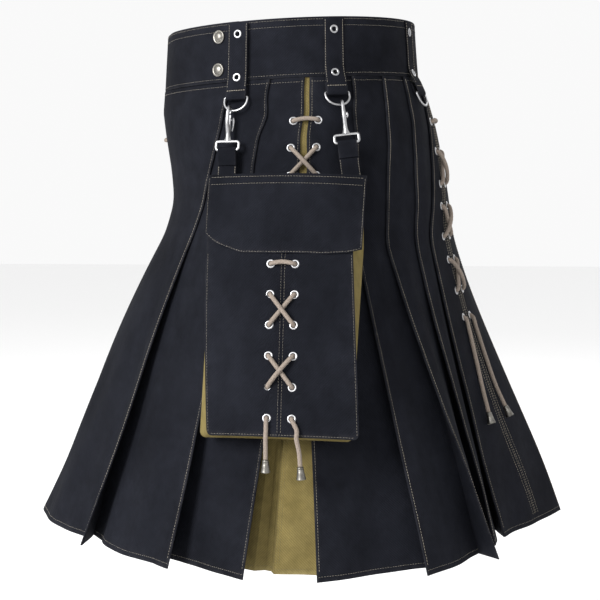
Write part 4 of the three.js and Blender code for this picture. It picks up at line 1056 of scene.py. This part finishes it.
def pocket_panel(node, columns, depth, top, holes=()):
    """The pocket's back, or a half of its front, which has holes and is puffed."""
    t = np.linspace(0, 1, 46)[:, None]
    across = np.asarray(columns)[None, :] * np.ones_like(t)
    drop = lerp(top, rounded_bottom(across), t)
    P = on_pocket(across, depth + (puff(across, drop) if holes else 0), drop)
    N = grid_normals(P)
    N = outward(N, N, pocket["y"])
    wear_and_braid_shade = np.maximum(np.exp(-(HALF - np.abs(across)) / 2), np.exp(-(HEIGHT - drop) / 2)) * 0.8
    uv = np.stack([across, drop], -1)
    piece = shell(node + "_cloth", P, N, CLOTH, BLACK, holes=holes, uv=uv, wear_and_braid_shade=wear_and_braid_shade, nodes=[node])


pocket_eyelets = []
for side in (-1, 1):
    column = []
    for row in range(6):
        drop = LACE_TOP + LACE_PITCH * row
        place = on_pocket(side * LACE_OFFSET, DEPTH + float(puff(LACE_OFFSET, drop)), drop)
        column.append((place, pocket["y"]))
        add_eyelet(*column[-1])
    pocket_eyelets.append(column)
pocket_panel("pocket_back", np.linspace(-HALF, HALF, 31), 0, 0)
dense = np.concatenate([np.linspace(-HALF, -76, 5), np.linspace(-72, -22, 12), np.linspace(-17.8, -8.2, 3),
                        [-5, -2.5, -1, -GAP / 2]])
for side, half_columns, column in zip(("left", "right"), (dense, -dense[::-1]), pocket_eyelets):
    pocket_panel("pocket_front_" + side, half_columns, DEPTH, 1, [(p, EYELET_HOLE) for p, _ in column])


def stitch_front(across, drop):
    """Stitches along a line on the pocket's front."""
    across, drop = np.broadcast_arrays(np.asarray(across, float), drop)
    stitch("pocket", on_pocket(across, DEPTH + CLOTH / 2 + puff(across, drop), drop), pocket["y"])


for side in (-1, 1):
    for edge in (1.8, HALF - 1.8):
        stitch_front(side * edge, np.linspace(84, HEIGHT - 4, 30))
stitch_front(np.linspace(5 - HALF, HALF - 5, 40), HEIGHT - 2)

# The gusset's strip runs down one side, round the bottom and up the other.
inset = CLOTH / 2
half = HALF - inset
bottom = HEIGHT - inset
drops = np.linspace(2, bottom - CORNER - 3, 40)
strip = [(-half, -d) for d in drops]
strip += arc((CORNER - half, CORNER - bottom), (CORNER, CORNER), range(180, 271, 15))
strip += [(a, -bottom) for a in np.linspace(-66, 66, 20)]
strip += arc((half - CORNER, CORNER - bottom), (CORNER, CORNER), range(270, 361, 15))
strip += [(half, -d) for d in drops[::-1]]
strip = np.array(strip)
tangent = unit(np.gradient(strip, axis=0))
away = np.stack([tangent[:, 1], -tangent[:, 0]], -1)
run = run_along(strip)
depths = np.linspace(inset + GAP, DEPTH - inset - GAP, 9)
share = (depths - depths[0]) / (depths[-1] - depths[0])
pull = -1.28 * np.sin(np.pi * share)[:, None] * (0.8 + 0.5 * np.sin(run * 0.05))
pull = pull * np.clip(np.minimum(run, run[-1] - run) / 30, 0, 1)
pulled = strip[None] + away[None] * pull[..., None]
P = on_pocket(pulled[..., 0], depths[:, None], -pulled[..., 1])
N = grid_normals(P)
N = outward(N, N[:, 0], -pocket["x"])
gusset = shell("pocket_gusset_cloth", P, N, CLOTH, KHAKI, uv=grid_uv(run, depths), nodes=["pocket_gusset"])

# Flap
flap_depth = DEPTH + PITCH + 0.3
FLAP_POINTS = 52


def flap_bottom(across):
    """The near corner is cut off, and the far one only dips."""
    return np.interp(across, (-83, -76, -68, -56, -44, 45, 68, 83), (62, 70, 75, 80, 84.5, 84.5, 82.5, 78))


def on_flap(across, depth, drop):
    """The flap's far edge spreads past the pocket at the top and draws in toward the bottom."""
    spread = lerp(3, lerp(9.3, 7.3, drop / FLAP_DROP), np.clip(depth / flap_depth, 0, 1))
    return on_pocket(across + np.maximum(across, 0) / FLAP_HALF * spread, depth, drop)


flap_across = np.concatenate([[-83, -82.5, -81], np.linspace(-78, 78, 40), [81, 82.5, 83]])
flap_rows = []
for across in flap_across:
    low = float(flap_bottom(across))
    key = [(0, -1.6), (4, -2.3), (flap_depth / 2, -2.6), (flap_depth - 4, -2.4), (flap_depth - 1.2, -1.4),
           (flap_depth, 0.8), (flap_depth + 0.9, 6)]
    key += [(flap_depth + 1.2, lerp(6, low, t)) for t in (0.25, 0.5, 0.75)]
    key += [(flap_depth + 0.9, low - 3), (flap_depth + 0.7, low)]
    line = resampled(smooth_path(np.array(key), 1.0), 2.2)
    share = np.linspace(0, 1, len(line))
    line = np.stack([np.interp(np.linspace(0, 1, FLAP_POINTS), share, line[:, k]) for k in (0, 1)], -1)
    fall = np.clip((line[:, 1] - 4) / (low - 4), 0, 1)
    ripple = 0.6 * math.sin(across * 0.13) + 0.4 * math.sin(across * 0.29 + 1)
    swell = 3.4 * np.sin(np.pi * fall ** 0.8) * math.cos(across / FLAP_HALF * 1.45)
    line[:, 0] += ripple * fall + swell
    flap_rows.append(line)
flap_rows = np.array(flap_rows)
P = on_flap(flap_across[:, None], flap_rows[..., 0], flap_rows[..., 1])
N = grid_normals(P)
N = outward(N, N, pocket["y"])
flap_run = np.linalg.norm(np.diff(P, axis=1), axis=2).cumsum(1)
flap_run = np.concatenate([np.zeros((len(P), 1)), flap_run], 1)
uv = np.stack(np.broadcast_arrays(flap_across[:, None], flap_run), -1)
side_wear = np.exp(-(FLAP_HALF - np.abs(flap_across)) / 1.6)[:, None]
wear_and_braid_shade = np.maximum(side_wear, np.exp(-(flap_run[:, -1:] - flap_run) / 1.6)) * 0.8
flap = shell("pocket_flap_cloth", P, N, CLOTH, BLACK, uv=uv, wear_and_braid_shade=wear_and_braid_shade, nodes=["pocket_flap"])


def stitch_flap(points):
    """Stitches on the flap, along places given as (across, drop)."""
    lines, normals = [], []
    for across, drop in points:
        i = min(max(int(np.searchsorted(flap_across, across)) - 1, 0), len(flap_across) - 2)
        t = (across - flap_across[i]) / (flap_across[i + 1] - flap_across[i])
        pair = []
        for c in (i, i + 1):
            outer = int(np.argmax(flap_rows[c, :, 0] > flap_depth - 1.4))
            pair.append([np.array([np.interp(drop, flap_rows[c, outer:, 1], M[c, outer:, k]) for k in range(3)])
                         for M in (P, N)])
        point, normal = lerp(pair[0][0], pair[1][0], t), unit(lerp(pair[0][1], pair[1][1], t))
        lines.append(point + normal * CLOTH / 2)
        normals.append(normal)
    stitch("pocket", lines, normals)


stitch_flap([(a, float(flap_bottom(a)) - 1.3) for a in np.linspace(1.5 - FLAP_HALF, FLAP_HALF - 1.5, 60)])
for edge in (1.3 - FLAP_HALF, FLAP_HALF - 1.3):
    stitch_flap([(edge, d) for d in np.linspace(2, float(flap_bottom(edge)) - 2, 18)])
for d in (1.6, 9.6):
    stitch_flap([(a, d) for a in np.linspace(-80, 80, 50)])

# Pocket lacing, its free ends hanging past the pocket's bottom
def hang(across, length, swing):
    brink = on_pocket(across, DEPTH + 4.2, HEIGHT + 1)
    half_way = brink - UP * length * 0.5 + pocket["x"] * swing * 0.7
    tip = brink - UP * length + pocket["x"] * swing
    return [on_pocket(across, DEPTH + 3.6, HEIGHT - 7), brink, half_way, tip]


add_lace("lace_pocket", lace_route(*pocket_eyelets, 0, hang(-LACE_OFFSET, 23, 0), hang(19, 29, 4)), free=(4, 4))


# Snap hooks and hangers

def hook_frame(ring, slide, across):
    drop = -(RING_LEG + RING_ARC * math.sqrt(1 - (slide / RING_HALF) ** 2))
    origin = in_frame(ring, slide, 0, drop)
    anchor = on_pocket(across, 0.8, 0)
    z = unit(origin - anchor)
    y = pocket["y"] + pocket["x"] * across / BOW_RADIUS
    y = unit(y - z * y.dot(z))
    return {"origin": origin, "x": unit(np.cross(z, y)), "y": y, "z": z, "anchor": anchor}


def tube_in(f, points, radius, closed=False):
    path = in_frame(f, *np.array(points, float).T)
    if not closed:
        path = smooth_path(path, 0.8)
    if callable(radius):
        radius = radius(np.linspace(0, 1, len(path)))
    return sweep(path, radius, 14, closed)[:2]


HANGER_ACROSS = np.array([-10.5, -10, -8.6, -5, 0, 5, 8.6, 10, 10.5])
HOOK_BOW = ((0, 0, EYE_TOP + 1), (0, 0.6, -27), (0, 2.4, -21), (0, 4.6, -14), (0, 4.8, -6), (0, 3.6, 1.4),
            (0, 0, 3.7), (0, -3.2, 1.6), (0, -3.4, -3))
HOOK_FLARE = ((0, EYE_TOP), (5.6, EYE_TOP + 0.2), (4.6, EYE_TOP + 1.4), (3.4, EYE_TOP + 3.2),
              (2.7, EYE_TOP + 6), (2.3, EYE_TOP + 10), (0, EYE_TOP + 11))
EYE_HALF = 13.2
EYE_CORNER = 2.5


def eye_outline():
    """The hook's strap eye, a rounded frame with a point at the middle of each long bar."""
    x, high, low = EYE_HALF - EYE_CORNER, EYE_TOP - EYE_CORNER, EYE_CORNER - HOOK_LENGTH
    outline = []
    for cx, cz, start in ((x, high, 0), (-x, high, 90), (-x, low, 180), (x, low, 270)):
        outline += arc((cx, cz), (EYE_CORNER, EYE_CORNER), range(start, start + 91, 15))
        if start in (0, 180):
            outline.append((0, cz + EYE_CORNER * (1 if start == 0 else -1)))
    return [(px, 0, pz) for px, pz in outline]


def add_hook(name, slide, across, lever_low):
    """The hook is cast in one with its strap eye: the shank spreads into the eye's upper bar."""
    f = hook_frame(hooked[name], slide, across)
    verts, faces = turned(HOOK_FLARE, 28, f["origin"] * 0, (0, 0, 1))
    verts = in_frame(f, verts[:, 0], verts[:, 1] * 0.45, verts[:, 2])
    if np.dot(np.cross(f["x"], f["y"]), f["z"]) < 0:
        faces = [face[::-1] for face in faces]
    thick = lambda t: np.interp(t, [0, 0.2, 0.45, 0.6, 0.8, 1], [2.5, 2.3, 2.3, 2.0, 1.6, 1.25])
    parts = [tube_in(f, HOOK_BOW, thick), (verts, faces), tube_in(f, eye_outline(), 1.6, closed=True)]
    add_piece("hook_%s_cast" % name, *merged(parts), NICKEL, nodes=["hook_" + name], sharp=50)
    gate = [(0, -3.5, -5), (0, -3.4, -9), (0, -3.2, -16), (0, -3.7, -27)]
    lever = [(3.7, -3.4, -8.2), (4.3, -3.4, -10.6), (4.1, -3.3, (lever_low - 11) / 2), (3.1, -3.2, lever_low)]
    stem = [(0, -3.4, -10.5), (3.9, -3.4, -10.5)]
    thick = lambda t: np.interp(t, [0, 0.3, 1], [0.9, 1.2, 0.8])
    parts = [tube_in(f, gate, 1.2), tube_in(f, lever, thick), tube_in(f, stem, 0.9)]
    add_piece("hook_gate_%s_cast" % name, *merged(parts), NICKEL, nodes=["hook_gate_" + name], sharp=50)
    loop = 1.5 + GAP + CLOTH / 2
    at_pocket = np.array((-loop, -np.linalg.norm(f["origin"] - f["anchor"])))
    down = np.array((-pocket["z"].dot(f["y"]), -pocket["z"].dot(f["z"])))
    line = [at_pocket + down * HANGER_TAIL, at_pocket + down * 8, at_pocket, (-loop, -HOOK_LENGTH - 8)]
    line += arc((0, -HOOK_LENGTH), (loop, loop), range(180, -1, -15))
    tuck = -loop + PITCH + 0.1
    line += [(x, z - HOOK_LENGTH) for x, z in ((0.9, -5), (0.4, -8), (tuck, -14), (tuck, -17))]
    section = resampled(smooth_path(np.array([tuple(p) for p in line]), 1.0), 1.4)
    P = in_frame(f, HANGER_ACROSS[None, :], section[:, :1], section[:, 1:])
    N = grid_normals(P)
    N = outward(N, N[3, 4], -f["y"])
    webbing("hanger_" + name, P, N, HANGER_ACROSS, section, (1.25, 1.1, 0.6))
    face = -loop + CLOTH / 2 + 0.05
    for a in (-9.6, 9.6):
        line = in_frame(f, a, face, np.linspace(-HOOK_LENGTH - 18, at_pocket[1], 8))
        stitch("straps", line, f["y"], 2.8, 2.0, 0.5)


add_hook("left_front", -6, -69, -23)
add_hook("left_mid", 3, 70, -14)

# Snap caps: a rolled rim round a domed middle
SNAP_TURN = -24.7
SNAP_PROFILE = ((0, 0), (7.0, 0), (7.45, 0.3), (7.5, 0.8), (7.2, 1.35), (6.5, 1.6), (5.7, 1.35), (5.3, 1.05),
                (4.9, 1.25), (4.2, 1.85), (3.0, 2.3), (1.5, 2.52), (0, 2.6))
for name, drop in (("snap_cap_upper", 15), ("snap_cap_lower", 51)):
    f = frame_on_ring(SNAP_TURN, drop, BAND_OFFSET + BAND_CLOTH / 2 + BAND_CLOTH + 2 * GAP + 0.2)
    verts, faces = turned(SNAP_PROFILE, 36, f["origin"], f["y"])
    add_piece(name + "_cap", verts, faces, SILVER, nodes=[name], sharp=60)

verts, faces = merged(metal_rings)
add_piece("eyelets", verts, faces, NICKEL, sharp=60)
for group in stitch_bins:
    add_stitches(group, KHAKI_THREAD if group == "khaki" else THREAD)


# Floor, camera and light
FLOOR_Z = -0.92
FLOOR_HALF = 9
FOCAL_PX = 1412
PICTURE_PX = 600
SENSOR = 36
floor_mesh = bpy.data.meshes.new("floor")
corners = [(x * FLOOR_HALF, y * FLOOR_HALF, FLOOR_Z) for x, y in ((-1, -1), (1, -1), (1, 1), (-1, 1))]
floor_mesh.from_pydata(corners, [], [(0, 1, 2, 3)])
floor_mesh.materials.append(Look("floor_paint", (0.92, 0.92, 0.92), 0.9).material)
floor = bpy.data.objects.new("floor", floor_mesh)
bpy.context.scene.collection.objects.link(floor)

camera_data = bpy.data.cameras.new("camera")
camera_data.sensor_width = SENSOR
camera_data.lens = FOCAL_PX / PICTURE_PX * SENSOR
camera = bpy.data.objects.new("camera", camera_data)
bpy.context.scene.collection.objects.link(camera)
camera.location = (1.7151, 0.1306, -0.1590)
pitch = math.radians(5.461)
yaw = math.radians(4)
look = Vector((-math.cos(yaw) * math.cos(pitch), -math.sin(yaw) * math.cos(pitch), -math.sin(pitch)))
camera.rotation_euler = look.to_track_quat("-Z", "Y").to_euler()
bpy.context.scene.camera = camera

bpy.context.scene.view_settings.view_transform = "Standard"
world = bpy.data.worlds.new("studio")
bpy.context.scene.world = world
world.use_nodes = True
world.node_tree.nodes["Background"].inputs["Color"].default_value = (1, 1, 1, 1)
world.node_tree.nodes["Background"].inputs["Strength"].default_value = 0.95


def area_light(name, place, target, size, power):
    data = bpy.data.lights.new(name, "AREA")
    data.size = size
    data.energy = power
    light = bpy.data.objects.new(name, data)
    bpy.context.scene.collection.objects.link(light)
    light.location = place
    light.rotation_euler = (Vector(target) - Vector(place)).to_track_quat("-Z", "Y").to_euler()


area_light("key", (2.15, -1.75, 0.9), (0.1, 0, -0.3), 1.2, 132)
area_light("fill", (2.4, 0.6, 1.2), (0.1, 0, -0.3), 1.6, 8)
area_light("back", (-2.2, 0.8, 1.8), (0, 0, -0.3), 1.6, 30)
